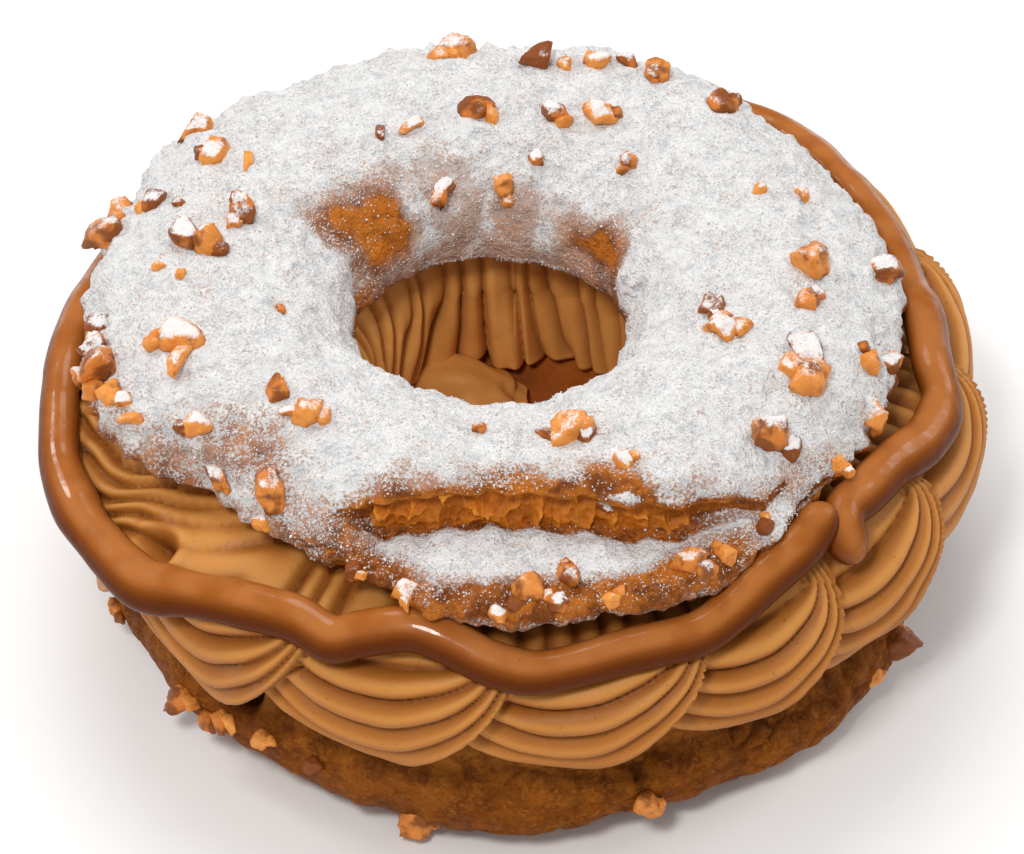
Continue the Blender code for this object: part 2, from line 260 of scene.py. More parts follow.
def add_piece(name, points, look, replaced=(), marks=None, faces=None):
    """Piece of the pastry: a smooth mesh whose numbers for each point are kept as attributes.

    Without faces, the points are a grid that closes both ways.
    """
    faces = torus_faces(*points.shape[:2]) if faces is None else faces
    points = points.reshape(-1, 3)
    faces = outward_faces(points, faces)
    mesh = bpy.data.meshes.new(name)
    corners = np.concatenate([group.ravel() for group in faces])
    counts = np.concatenate([np.full(len(group), group.shape[1]) for group in faces])
    mesh.vertices.add(len(points))
    mesh.vertices.foreach_set("co", points.ravel())
    mesh.loops.add(len(corners))
    mesh.loops.foreach_set("vertex_index", corners)
    mesh.polygons.add(len(counts))
    mesh.polygons.foreach_set("loop_start", np.cumsum(counts) - counts)
    mesh.update(calc_edges=True)
    if mesh.validate():
        raise RuntimeError(name + " has faces that aren't valid")
    mesh.shade_smooth()
    for mark, values in (marks or {}).items():
        kept = mesh.attributes.new(mark, "FLOAT", "POINT")
        kept.data.foreach_set("value", np.asarray(values, dtype=np.float32).ravel())
    mesh.materials.append(look)
    piece = bpy.data.objects.new(name, mesh)
    bpy.context.scene.collection.objects.link(piece)
    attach(piece, "root")
    for node in replaced:
        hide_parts(node)


# ------------------------------------------------------------------ shader maths
class Wire:
    """A socket that arithmetic works on: an operator adds the Math node of its kind."""

    def __init__(self, look, socket):
        self.look = look
        self.socket = socket

    def maths(self, operation, first, second):
        """Math node of an operation on two values."""
        return self.look.node("ShaderNodeMath", {"operation": operation}, {0: first, 1: second})

    def __add__(self, other):
        return self.maths("ADD", self, other)

    def __sub__(self, other):
        return self.maths("SUBTRACT", self, other)

    def __rsub__(self, other):
        return self.maths("SUBTRACT", other, self)

    def __mul__(self, other):
        return self.maths("MULTIPLY", self, other)

    __radd__ = __add__
    __rmul__ = __mul__

    def eased(self, low, high):
        """0 below low and 1 above high, with a smooth rise between."""
        settings = {"interpolation_type": "SMOOTHSTEP"}
        values = {"Value": self, "From Min": low, "From Max": high}
        return self.look.node("ShaderNodeMapRange", settings, values)


class Look:
    """A material being made, on Object coordinates."""

    def __init__(self, name, **constants):
        self.material = bpy.data.materials.new(name)
        self.material.use_nodes = True
        self.tree = self.material.node_tree
        self.shader = self.tree.nodes["Principled BSDF"]
        self.place = self.node("ShaderNodeTexCoord", output="Object")
        self.wear(**constants)

    def feed(self, socket, value):
        """Links a wire to a socket, or sets the socket to a value."""
        if isinstance(value, Wire):
            self.tree.links.new(value.socket, socket)
        elif socket.type == "RGBA":
            socket.default_value = (*value, 1.0)
        else:
            socket.default_value = value

    def node(self, kind, settings=None, values=None, output=0):
        """Any node: its settings are set first, then its sockets' values or links."""
        made = self.tree.nodes.new(kind)
        for setting, value in (settings or {}).items():
            setattr(made, setting, value)
        for socket, value in (values or {}).items():
            self.feed(made.inputs[socket], value)
        return Wire(self, made.outputs[output])

    def noise(self, size, detail=2.0, roughness=0.5, stretch=None, distortion=0.0):
        """Noise from about 0 to 1 with features of a size in metres."""
        place = self.place
        if stretch:
            place = self.node("ShaderNodeMapping", None, {"Vector": place, "Scale": stretch})
        values = {
            "Vector": place, "Scale": 1.0 / size, "Detail": detail,
            "Roughness": roughness, "Distortion": distortion,
        }
        return self.node("ShaderNodeTexNoise", None, values)

    def spots(self, size):
        """Distance to the nearest point of a scatter, from 0 at a point to about 1 between."""
        values = {"Vector": self.place, "Scale": 1.0 / size}
        return self.node("ShaderNodeTexVoronoi", None, values, "Distance")

    def mark(self, name):
        """Number kept for each point of the mesh."""
        return self.node("ShaderNodeAttribute", {"attribute_name": name}, None, "Fac")

    def mix(self, factor, first, second):
        """Colour between two colours, whose sockets are the Mix node's 6 and 7."""
        values = {0: factor, 6: first, 7: second}
        return self.node("ShaderNodeMix", {"data_type": "RGBA"}, values, 2)

    def layers(self, colour, *coats):
        """Colour with coats over it in their order, each given as its mask and its colour."""
        for mask, coat in coats:
            colour = self.mix(mask, colour, coat)
        return colour

    def bump(self, height, distance):
        """Bump of a height from 0 to 1 that stands so many metres high."""
        values = {"Height": height, "Distance": distance, "Strength": 1.0}
        return self.node("ShaderNodeBump", None, values)

    def wear(self, **values):
        """Sets or feeds the shader's sockets, and gives the material."""
        for socket, value in values.items():
            self.feed(self.shader.inputs[socket.replace("_", " ")], value)
        return self.material


# How far red, green and blue light scatters under a translucent brown, as shares.
WARM_SCATTER = (1.0, 0.4, 0.12)


def crust_look(colours):
    """Baked choux: golden brown, softly clouded darker, with a fine fibrous grain."""
    look = Look("baked_crust", Specular_IOR_Level=0.08)
    cloud = look.noise(8.0 * MM, 3.0, 0.55)
    patch = look.noise(3.4 * MM, 4.0, 0.6, distortion=0.4)
    fibre = look.noise(1.3 * MM, 5.0, 0.7, stretch=(1.0, 1.0, 1.5), distortion=1.4)
    grain = look.noise(0.45 * MM, 3.0, 0.7)
    colour = look.layers(
        colours.dark,
        (patch.eased(0.30, 0.66), colours.middle),
        (fibre.eased(0.46, 0.70) * 0.6, colours.light),
        (cloud.eased(0.48, 0.72) * 0.5, colours.dark),
        (grain.eased(0.50, 0.75) * 0.3, colours.dark),
        (look.mark("upper") * patch.eased(0.35, 0.65) * 0.6, colours.light),
        (look.mark("floor") * 0.7, colours.crust_red),
        # Painted shade in the cracks and the nick, where the relief is lowest.
        (look.mark("height").eased(0.35, 0.0) * 0.8, colours.crust_crack_shade),
    )
    rough = 0.45 + 0.25 * grain
    relief = patch * 0.5 + fibre * 0.55 + grain * 0.25
    return look.wear(Base_Color=colour, Roughness=rough, Normal=look.bump(relief, 0.5 * MM))


def cream_look(colours):
    """Praline buttercream: satin tan, with painted shade in its folds and fine brown nut specks."""
    look = Look("praline_cream", Specular_IOR_Level=0.22)
    cloud = look.noise(11.0 * MM, 2.0)
    fine = look.noise(0.9 * MM, 3.0, 0.6)
    speck = look.spots(0.95 * MM)
    rare = look.noise(0.8 * MM, 1.0)
    dots = (1.0 - speck.eased(0.10, 0.17)) * rare.eased(0.52, 0.60)
    colour = look.layers(
        colours.cream,
        (cloud.eased(0.35, 0.7) * 0.5, colours.cream_warm),
        # Painted shade: darker brown deep in the folds between ridges and where the cream faces down.
        (look.mark("painted_fold_shade"), colours.cream_painted_shade),
        (dots * 0.75, colours.speck),
        # Painted light on the crests that face up and on the cream round the hole.
        (look.mark("painted_light"), colours.cream_painted_light),
    )
    rough = 0.40 + 0.14 * fine
    return look.wear(Base_Color=colour, Roughness=rough, Normal=look.bump(fine, 0.06 * MM))


def caramel_look(colours):
    """Soft caramel: tan brown with painted shade below and painted light on its crown, glossy there in
    wet patches.
    """
    look = Look("soft_caramel", Specular_IOR_Level=0.06, Coat_Roughness=0.07)
    cloud = look.noise(7.0 * MM, 2.0)
    fine = look.noise(1.3 * MM, 2.0)
    speck = look.spots(1.3 * MM)
    rare = look.noise(0.9 * MM, 1.0)
    crown = look.mark("crown")
    wet = look.noise(2.4 * MM, 3.0, 0.6).eased(0.44, 0.60) * 0.8 + 0.2
    dots = (1.0 - speck.eased(0.08, 0.14)) * rare.eased(0.55, 0.62)
    # The crown mark paints light on the ribbon's top, with paler clouds there, and shade on its
    # underside.
    colour = look.layers(
        colours.caramel_painted_shade,
        (crown, colours.caramel),
        (crown.eased(0.5, 1.0) * cloud.eased(0.30, 0.60) * 0.6, colours.caramel_painted_light),
        (dots * 0.5, colours.speck),
    )
    rough = 0.22 + 0.14 * fine
    shine = (0.04 + 0.5 * crown) * wet
    normal = look.bump(cloud * 0.5 + fine * 0.12, 0.35 * MM)
    return look.wear(Base_Color=colour, Roughness=rough, Normal=normal, Coat_Weight=shine)


def sugared_look(colours):
    """Crust under sifted icing sugar: white where the sugar lies thick, speckled where thin.

    The sugar shows where its cover exceeds a threshold of noise.  Where the crust was moist it
    has melted into soft patches, whose threshold has little grain and a wide rise.
    """
    look = Look("sugared_crust", Specular_IOR_Level=0.12)
    cover = look.mark("cover")
    moist = look.mark("moist")
    wide = look.noise(4.5 * MM, 3.0, 0.55)
    clumps = look.noise(1.7 * MM, 4.0, 0.6, distortion=0.3)
    grain = look.noise(0.40 * MM, 2.0, 0.7)
    mottle = look.noise(2.2 * MM, 3.0, 0.6)
    amber = look.noise(4.0 * MM, 2.0, 0.5, distortion=0.5)
    threshold = wide * 0.7 + clumps * 1.1 + grain * 2.0 - 1.4
    melted = wide + clumps * 0.8 + grain * 0.4 - 0.6
    sugar = (cover - threshold).eased(-0.05, 0.09) * (1.0 - moist)
    sugar = sugar + (cover - melted).eased(-0.22, 0.45) * moist
    crust = look.layers(
        colours.lid_dark,
        (mottle.eased(0.36, 0.66), colours.lid_brown),
        (amber.eased(0.46, 0.66) * 0.7, colours.lid_amber),
        (cover.eased(0.14, 0.0) * 0.55, colours.lid_amber),
        (grain.eased(0.50, 0.70) * 0.3, colours.lid_dark),
        (cover.eased(0.24, 0.60) * 0.5, colours.sugar_thin),
        (cover.eased(0.60, 1.0) * 0.7, colours.sugar_shade),
        (moist * cover.eased(0.0, 0.30) * 0.5, colours.sugar_thin),
    )
    # Painted shade in the hollows between clumps of sugar.
    painted_hollow_shade = (clumps * 0.5 + grain * 0.5).eased(0.53, 0.40) * wide.eased(0.28, 0.58)
    flecks = look.spots(1.7 * MM).eased(0.13, 0.07) * clumps.eased(0.52, 0.58)
    white = look.layers(
        colours.sugar_thin,
        ((cover - threshold).eased(0.0, 0.40), colours.sugar),
        (painted_hollow_shade * 0.9, colours.sugar_shade),
        (flecks * 0.6, colours.fleck),
    )
    colour = look.mix(sugar, crust, white)
    relief = grain * 0.35 + clumps
    rough = 0.5 + 0.4 * sugar
    return look.wear(Base_Color=colour, Roughness=rough, Normal=look.bump(relief, 1.35 * MM))


def crumb_look(colours):
    """Open choux crumb: honey orange, with painted shade deepening into its pockets, moist."""
    look = Look(
        "open_crumb", Specular_IOR_Level=0.2, Subsurface_Weight=0.25, Subsurface_Scale=1.0 * MM,
        Subsurface_Radius=WARM_SCATTER,
    )
    depth = look.mark("depth")
    fine = look.noise(0.7 * MM, 4.0, 0.65)
    cloud = look.noise(2.4 * MM, 2.0, 0.5)
    # The depth mark paints shade into the pockets, darker the deeper they go; fine noise adds darker
    # grain.
    colour = look.layers(
        colours.crumb_wall,
        (depth.eased(0.0, 0.40), colours.crumb),
        (cloud.eased(0.40, 0.62) * 0.35, colours.crumb_wall),
        (fine.eased(0.50, 0.70) * 0.35, colours.crumb_grain_and_shade),
        (depth.eased(0.35, 1.0) * 0.75, colours.crumb_grain_and_shade),
    )
    rough = 0.30 + 0.25 * fine
    return look.wear(Base_Color=colour, Roughness=rough, Normal=look.bump(fine, 0.20 * MM))


def nut_look(colours):
    """Nuts toasted in sugar: amber with brown skin, and sugar settled on what faces up."""
    look = Look(
        "candied_nuts", Specular_IOR_Level=0.3, Subsurface_Weight=0.08, Subsurface_Scale=0.6 * MM,
        Subsurface_Radius=WARM_SCATTER,
    )
    tone = look.mark("tone")
    cover = look.mark("cover")
    cloud = look.noise(1.5 * MM, 3.0, 0.6)
    skin = look.noise(2.3 * MM, 2.0, 0.5)
    grain = look.noise(0.34 * MM, 3.0, 0.7)
    threshold = cloud * 1.1 + grain * 1.5 - 0.80
    sugar = (cover - threshold).eased(-0.12, 0.42)
    colour = look.layers(
        colours.nut_amber,
        (tone, colours.nut_pale),
        (cloud.eased(0.42, 0.62) * 0.45, colours.nut_amber),
        ((skin * 0.7 + (1.0 - tone) * 0.3).eased(0.46, 0.60) * 0.8, colours.nut_brown),
        (sugar * 0.93, colours.sugar),
    )
    rough = 0.34 + 0.5 * sugar
    relief = grain * 0.5 + cloud * 0.6
    return look.wear(Base_Color=colour, Roughness=rough, Normal=look.bump(relief, 0.40 * MM))


def sugar_look(colours):
    """Icing sugar in clumps and grains: matte white."""
    look = Look("icing_sugar", Roughness=0.9, Specular_IOR_Level=0.1)
    grain = look.noise(0.25 * MM, 2.0)
    colour = look.mix(grain.eased(0.35, 0.65), colours.sugar_shade, colours.sugar)
    return look.wear(Base_Color=colour)


def floor_look(colours):
    """Plain pale table top."""
    look = Look("pale_floor", Roughness=0.7)
    cloud = look.noise(0.4, 2.0)
    return look.wear(Base_Color=look.mix(cloud * 0.03, colours.floor, (0.80, 0.80, 0.80)))


# ------------------------------------------------------------------ choux base
# A nick in the side: azimuth and half width in degrees, height and half height in metres, and
# depth in millimetres.
NICK_AZIMUTH, NICK_WIDTH = -40.0, 3.2
NICK_HEIGHT, NICK_REACH, NICK_DEPTH = 13.6 * MM, 2.6 * MM, 3.2


def base_radius_swell(azimuth):
    """How far the side of the base stands out: a lean to one side and three slow waves."""
    waves = 0.5 * np.sin(3.0 * azimuth + 0.7) + 0.4 * np.sin(7.0 * azimuth + 2.1)
    return (waves + 0.8 * np.cos(azimuth - math.radians(40.0))) * MM


def side_radius(sizes, height):
    """Radius of the lower side of the base: a quarter ellipse from the foot to the widest."""
    low = clamp(1.0 - height / sizes.widest)
    return sizes.foot_radius + (sizes.radius - sizes.foot_radius) * np.sqrt(1.0 - low**2)


def make_base(sizes, colours):
    """Base: a closed outline of foot, rounded side, level cut and hole, swollen and blistered."""
    side = []
    reach = sizes.radius - sizes.foot_radius
    for angle in np.radians((-64.0, -38.0, -12.0, 16.0, 42.0)):
        rise = sizes.widest if angle < 0.0 else sizes.height - sizes.widest
        radius = sizes.radius - reach * (1.0 - math.cos(angle))
        side.append((radius, sizes.widest + rise * math.sin(angle)))
    top = sizes.height
    outline = [(sizes.foot_radius, 0.0), *side, (53.0 * MM, top), (45.0 * MM, top + 0.6 * MM)]
    outline += [(24.0 * MM, top + 0.2 * MM), (20.0 * MM, top - 1.4 * MM), (15.5 * MM, 0.74 * top)]
    outline += [(11.4 * MM, 0.52 * top), (10.2 * MM, 0.30 * top), (14.0 * MM, 0.0), (28.0 * MM, 0.0)]
    rows = spline_rows(np.array(outline), [9, 10, 11, 11, 11, 10, 8, 10, 6, 5, 8, 8, 6, 3, 3])
    azimuth = azimuths(720)
    on_side = ease(sizes.foot_radius, sizes.radius, rows[:, 0])
    radius = rows[:, 0] + on_side * base_radius_swell(azimuth)
    grid = on_ring(azimuth, radius, rows[:, 1], BASE_MIDDLE)
    layers = [(17.0, 0.8), (7.0, 0.55), (3.2, 0.30), (1.5, 0.14)]
    rough = lumps(grid, layers, seed=3)
    near, next_near = pores(grid * (1.0, 1.0, 1.3), 4.2 * MM, seed=11)
    blister = 0.5 * (1.0 - ease(0.0, 0.55, near)) * ease(0.1, 0.5, noise(grid, 9.0 * MM, 19))
    crack = -0.35 * (1.0 - ease(0.02, 0.14, next_near - near))
    crack = crack * ease(0.0, 0.4, noise(grid, 11.0 * MM, 23))
    level = np.abs(grid[..., 2] - NICK_HEIGHT)
    nick = turned(azimuth, NICK_AZIMUTH, NICK_WIDTH) * (1.0 - ease(0.0, NICK_REACH, level))
    relief = rough + blister + crack - NICK_DEPTH * nick
    # The foot stands on the table, so its underside keeps level.
    loose = ease(0.0, 1.2 * MM, grid[..., 2])
    grid = grid + outward(grid) * (relief * loose * MM)[..., None]
    grid[..., 2] = np.maximum(grid[..., 2], 0.0)
    # Height of the relief, whose lowest places get painted shade.
    height = clamp(0.5 + 0.3 * (rough + 2.0 * crack) - nick)
    upper = ease(9.0 * MM, 18.0 * MM, grid[..., 2])
    in_hole = 1.0 - ease(26.0 * MM, 30.0 * MM, radius)
    marks = {"height": height, "upper": upper, "floor": in_hole}
    add_piece("choux_base_crust", grid, crust_look(colours), ["choux_base"], marks)


# ------------------------------------------------------------------ caramel ribbon
# Where the hand that piped the ribbon turned: azimuth in degrees, how far the ribbon lies down
# the slope of the cream's shoulder, and how far it has sunk, both in millimetres.  The strand
# starts on top of its own tail, so it is lifted there: it has sunk less than nothing.
RIBBON_TURNS = (
    (46.8, -5, -2.2), (44, -4.9, -1.4), (41.5, -4.6, -0.4), (38, -4.1, 0), (33, -3.1, 0),
    (28, -1.3, 0), (23, 0.1, 0), (18, 0.1, 0), (13, 0.2, 0), (7.5, 1, 0), (2, 1.6, 0), (-3, 0.4, 0),
    (-8, -1.7, 0), (-13, -2.7, 0), (-19, -0.9, 0), (-22.5, 0.7, 0), (-28, -0.2, 0), (-36, 1.2, 0),
    (-43, 3.6, 0), (-47.5, 5.6, 0), (-51, 6, 0), (-56, 6, 0), (-62, 6, 0), (-70, 5.4, 0),
    (-76, 3.8, 0), (-83, 2.2, 0), (-92, 0.4, 0.6), (-102, -1.6, 2.4), (-116, -3, 4),
    (-132, -2.6, 4.2), (-150, -3.2, 4), (-166, -3, 3.4), (-180, -4, 3.8), (-198, -4.4, 3.6),
    (-212, -3.4, 2.4), (-222, -1.8, 1.6), (-236, -5.2, 2.2), (-250, -6.2, 2.6), (-262, -6.6, 2.6),
    (-267, -5.6, 1.6), (-278, -4.2, 0.4), (-284, -1.5, 0.4), (-291, -2, 0.4), (-296, -3.5, 0.4),
    (-300, -4.5, 0.4), (-306, -4.8, 0.4), (-310, -4.9, 0.2), (-312.2, -3.4, -0.2),
    (-313.2, -1.2, -0.2), (-313.6, 1.6, -0.2),
)
RIBBON_LEAN = math.radians(48.0)


def ribbon_line(sizes, azimuth, slide, sink):
    """Point of the ribbon's middle line, slid down the shoulder and sunk straight down."""
    radius = sizes.path_radius + slide * math.sin(RIBBON_LEAN)
    height = sizes.path_height - slide * math.cos(RIBBON_LEAN) - sink
    return on_ring(azimuth, radius, height, CREAM_MIDDLE)


def ribbon_path(sizes, steps):
    """Middle line of the ribbon: a Catmull-Rom curve through its turns, evenly spaced."""
    turns = np.array(RIBBON_TURNS)
    keys = ribbon_line(sizes, np.radians(turns[:, 0]), turns[:, 1] * MM, turns[:, 2] * MM)
    ends = np.concatenate([2.0 * keys[:1] - keys[1:2], keys, 2.0 * keys[-1:] - keys[-2:-1]])
    part = np.linspace(0.0, len(keys) - 1.001, 24 * len(keys))
    which = np.floor(part).astype(int)
    t = (part - which)[:, None]
    before, start, end, after = (ends[which + shift] for shift in range(4))
    line = 0.5 * (
        2.0 * start
        + (end - before) * t
        + (2.0 * before - 5.0 * start + 4.0 * end - after) * t**2
        + (3.0 * start - before - 3.0 * end + after) * t**3
    )
    length = run_length(*line.T)
    even = np.linspace(0.0, length[-1], steps)
    return np.stack([np.interp(even, length, line[:, axis]) for axis in range(3)], axis=-1), even


def ribbon_bed(sizes, azimuth):
    """Radius and height of the ribbon at each azimuth, for the bed that it presses."""
    line, _ = ribbon_path(sizes, 1500)
    off = line[:, :2] - CREAM_MIDDLE
    turn = np.unwrap(np.arctan2(off[:, 0], -off[:, 1]))
    order = np.argsort(turn)
    turn, radius, height = turn[order], np.hypot(off[:, 0], off[:, 1])[order], line[order, 2]
    wanted = (azimuth - turn[0]) % FULL_TURN + turn[0]
    return np.interp(wanted, turn, radius), np.interp(wanted, turn, height)


def make_ribbon(sizes, colours):
    """Ribbon: a flattened oval carried along its path, rounded off at both ends."""
    steps, sides = 1500, 30
    line, along = ribbon_path(sizes, steps)
    heading = np.gradient(line, axis=0)
    heading /= np.linalg.norm(heading, axis=1, keepdims=True)
    off = line[:, :2] - CREAM_MIDDLE
    out = closed(off, [0.0])
    out /= np.linalg.norm(out, axis=1, keepdims=True)
    away = out * math.cos(RIBBON_LEAN) + np.array([0.0, 0.0, 1.0]) * math.sin(RIBBON_LEAN)
    away -= heading * np.sum(away * heading, axis=1, keepdims=True)
    away /= np.linalg.norm(away, axis=1, keepdims=True)
    beside = np.cross(heading, away)
    angle = FULL_TURN * np.arange(sides) / sides
    uneven = 1.0 + 0.09 * noise(line, 9.0 * MM, 5) + 0.04 * noise(line, 4.0 * MM, 6)
    # It is a little narrower at the front.
    front = np.arctan2(off[:, 0], -off[:, 1]) - math.radians(6.0)
    uneven = uneven - 0.14 * np.exp(-((front / math.radians(16.0)) ** 2))
    from_end = np.minimum(along, along[-1] - along)
    tip = 0.62 * sizes.ribbon_width
    rounding = np.sqrt(clamp(1.0 - (1.0 - clamp(from_end / tip)) ** 2))
    across = 0.5 * sizes.ribbon_width * np.sign(np.cos(angle)) * np.abs(np.cos(angle)) ** 0.9
    lift = 0.5 * sizes.ribbon_thickness * np.sin(angle)
    scale = (np.maximum(rounding, 0.02) * uneven)[:, None, None]
    oval = beside[:, None, :] * across[:, None] + away[:, None, :] * lift[:, None]
    grid = line[:, None, :] + scale * oval
    points = np.concatenate([grid.reshape(-1, 3), line[:1], line[-1:]])
    off_line = grid - line[:, None, :]
    # How far each point faces up, for the painted light on top and the painted shade below.
    crown = ease(-0.05, 1.05, off_line[..., 2] / np.linalg.norm(off_line, axis=-1)).ravel()
    marks = {"crown": np.concatenate([crown, [1.0, 1.0]])}
    add_piece(
        "caramel_ribbon", points, caramel_look(colours), ["caramel_bead"], marks,
        capsule_faces(1, steps, sides),
    )


# ------------------------------------------------------------------ praline cream
# Azimuths, in degrees, at which one piped swag ends and the next comes out from under it.
SWAG_ENDS = (
    -74.0, -52.0, -27.0, -1.6, 22.3, 42.2, 63.5, 85.0, 107.5, 131.0, 153.0, 175.5, 198.5, 221.0,
    243.0, 264.5,
)


def swag_turn(azimuth):
    """Number of the swag at an azimuth and how far along it, as one number that keeps rising."""
    ends = np.radians(np.array(SWAG_ENDS + (SWAG_ENDS[0] + 360.0,)))
    wrapped = (azimuth - ends[0]) % FULL_TURN + ends[0]
    return np.interp(wrapped, ends, np.arange(len(ends)))


def ring_number(side, down):
    """Which nested ring of a swag a point lies on, found by halving.

    Ring q is a rounded arc about the top of the swag: it is 6.7 q - 0.3 q^2 - 0.5 mm deep, and
    reaches 8.7 + 2 q mm towards the swag's start, as an ellipse, and 13.9 + q mm towards its
    end, straighter than an ellipse, where the rings crowd together.
    """
    low = np.full(side.shape, -1.2)
    high = np.full(side.shape, 8.0)
    at_start = side < 0.0
    bend = 2.0 - 0.45 * ease(0.0, 9.0 * MM, side)
    for _ in range(16):
        q = 0.5 * (low + high)
        width = np.where(at_start, 8.7 + 2.0 * q, 13.9 + 1.0 * q) * MM
        depth = np.maximum(-0.5 + 6.7 * q - 0.3 * q * q, 0.2) * MM
        outside = np.abs(side / width) ** bend + (down / depth) ** bend > 1.0
        low = np.where(outside, q, low)
        high = np.where(outside, high, q)
    return 0.5 * (low + high)


def swag_relief(sizes, azimuth, turn, down, ribbon_down):
    """Height of the piped swags at a turn round the ring and a depth below the ribbon.

    Across its rings a swag rises slowly to a crest where the ring number is whole and drops
    fast behind it, and it ends in a rounded edge past its last crest.  Every swag leans, low at
    its start and high at its end, so each lies over the next: the highest of three is kept.
    """
    last_ring, swag_width = 4.06, 24.3 * MM
    best = np.full(turn.shape, -99.0)
    # Besides the height, it keeps how far each point lies in a fold, which sets the painted shade
    # there.
    painted_fold_shade = np.zeros(turn.shape)
    for step in (-1, 0, 1):
        number = np.floor(turn) + step
        vary = hashed(np.stack([number % len(SWAG_ENDS)] * 3, axis=-1).astype(np.int64), 77)
        side = (turn - number - 0.32) * swag_width
        q = ring_number(side, np.maximum(down, 0.0) * (0.97 + 0.07 * vary)) + 0.12 * (vary - 0.5)
        # From the valley behind one crest, 0, to the next crest at 0.66 and its drop after it.
        crest = ridge_profile((q - 0.34) % 1.0, 0.66, 0.35)
        crowded = 0.42 + 0.58 * np.exp(-((np.maximum(side, 0.0) / (11.0 * MM)) ** 2))
        ridge = (crest - 1.0) * sizes.ridge_depth * crowded
        inside = 1.0 - ease(0.0, 0.6, q)
        ridge = ridge * ease(-0.1, 0.4, q) * (1.0 - 0.4 * inside) - 1.0 * MM * inside
        lean = sizes.swag_step * (ease(-14.0 * MM, 16.0 * MM, side) - 1.0)
        beyond = np.maximum(q - last_ring, 0.0)
        edge = -(beyond**1.3) * 7.0 * MM - ease(0.0, 0.3, beyond) * 0.9 * MM
        total = ridge + lean + edge
        nearer = total > best
        best = np.where(nearer, total, best)
        painted_fold_shade = np.where(nearer, (1.0 - crest) * (1.0 - 0.3 * inside) + ease(0.0, 0.3, beyond), painted_fold_shade)
    # Above the ribbon the ridges run inwards, each of its own width and height. At the left of
    # the front they are wider, and swept back on their way down.
    over = ease(0.5 * MM, -2.5 * MM, down - ribbon_down)
    from_left = (azimuth + math.radians(64.0) + math.pi) % FULL_TURN - math.pi
    sweep = 1.2 * turned(azimuth, -66.0, 40.0) * (down + 6.0 * MM) / (56.0 * MM)
    uneven = joined(np.degrees(azimuth) / 8.0, 40.0 * down, 0.0)
    number = sizes.top_ridges * (azimuth + sweep) / FULL_TURN + 0.55 * noise(uneven, 1.0, 35)
    number = number - 4.0 * np.tanh(from_left / math.radians(40.0))
    top_crest = ridge_profile(number % 1.0, 0.62, 0.39, 0.9)
    tall = hashed(np.stack([np.floor(number) % 4.0] * 3, axis=-1).astype(np.int64), 36)
    front = turned(azimuth, 8.0, 34.0)
    top = (top_crest - 1.0) * (1.2 + 0.9 * tall) * (1.0 - 0.45 * front) * MM
    top = top - (0.8 + 0.5 * (1.0 - tall) + 0.9 * front) * MM
    # One stroke of the nozzle ends in a dimple with a soft lip.
    apart_x = (azimuth - math.radians(-50.5)) * 57.0 * MM
    apart_y = down - ribbon_down + 4.6 * MM
    apart = np.hypot(apart_x, apart_y)
    calm = np.exp(-(((apart_x - 5.0 * MM) / (7.0 * MM)) ** 2)) * over
    top = top * (1.0 - 0.75 * calm)
    top = top - 3.2 * MM * np.exp(-((apart / (2.1 * MM)) ** 2))
    top = top + 1.0 * MM * np.exp(-(((apart - 3.9 * MM) / (1.3 * MM)) ** 2))
    # Painted shade in the grooves above the ribbon, in the dimple, and at the front under the lid.
    top_painted_fold_shade = (1.0 - top_crest) * (1.0 - 0.8 * calm) + 0.6 * np.exp(-((apart / (2.0 * MM)) ** 2))
    top_painted_fold_shade = top_painted_fold_shade + 0.35 * front
    return best + over * (top - best), painted_fold_shade + over * (top_painted_fold_shade - painted_fold_shade)


def cream_envelope(sizes, angle):
    """Section of the cream: a squared ellipse, more square below its middle than above."""
    cosine, sine = np.cos(angle), np.sin(angle)
    square = np.where(sine < 0.0, sizes.foot_square, 0.88)
    radius = sizes.mid_radius + sizes.half_width * np.sign(cosine) * np.abs(cosine) ** square
    height = sizes.mid_height + sizes.half_height * np.sign(sine) * np.abs(sine) ** square
    return radius, height


def press_bed(ribbon, azimuth, radius, height):
    """Pushes the cream in under the ribbon, which lies a little below the cream's surface."""
    path_r, path_z = ribbon_bed(ribbon, azimuth)
    off_r, off_z = radius - path_r, height - path_z
    along = off_r * math.sin(RIBBON_LEAN) - off_z * math.cos(RIBBON_LEAN)
    away = off_r * math.cos(RIBBON_LEAN) + off_z * math.sin(RIBBON_LEAN)
    beside = np.maximum(np.abs(along) - 0.42 * ribbon.ribbon_width, 0.0)
    highest = 1.6 * beside - 0.5 * ribbon.ribbon_thickness + 0.9 * MM
    push = np.minimum(highest - away, 0.0)
    return radius + push * math.cos(RIBBON_LEAN), height + push * math.sin(RIBBON_LEAN)


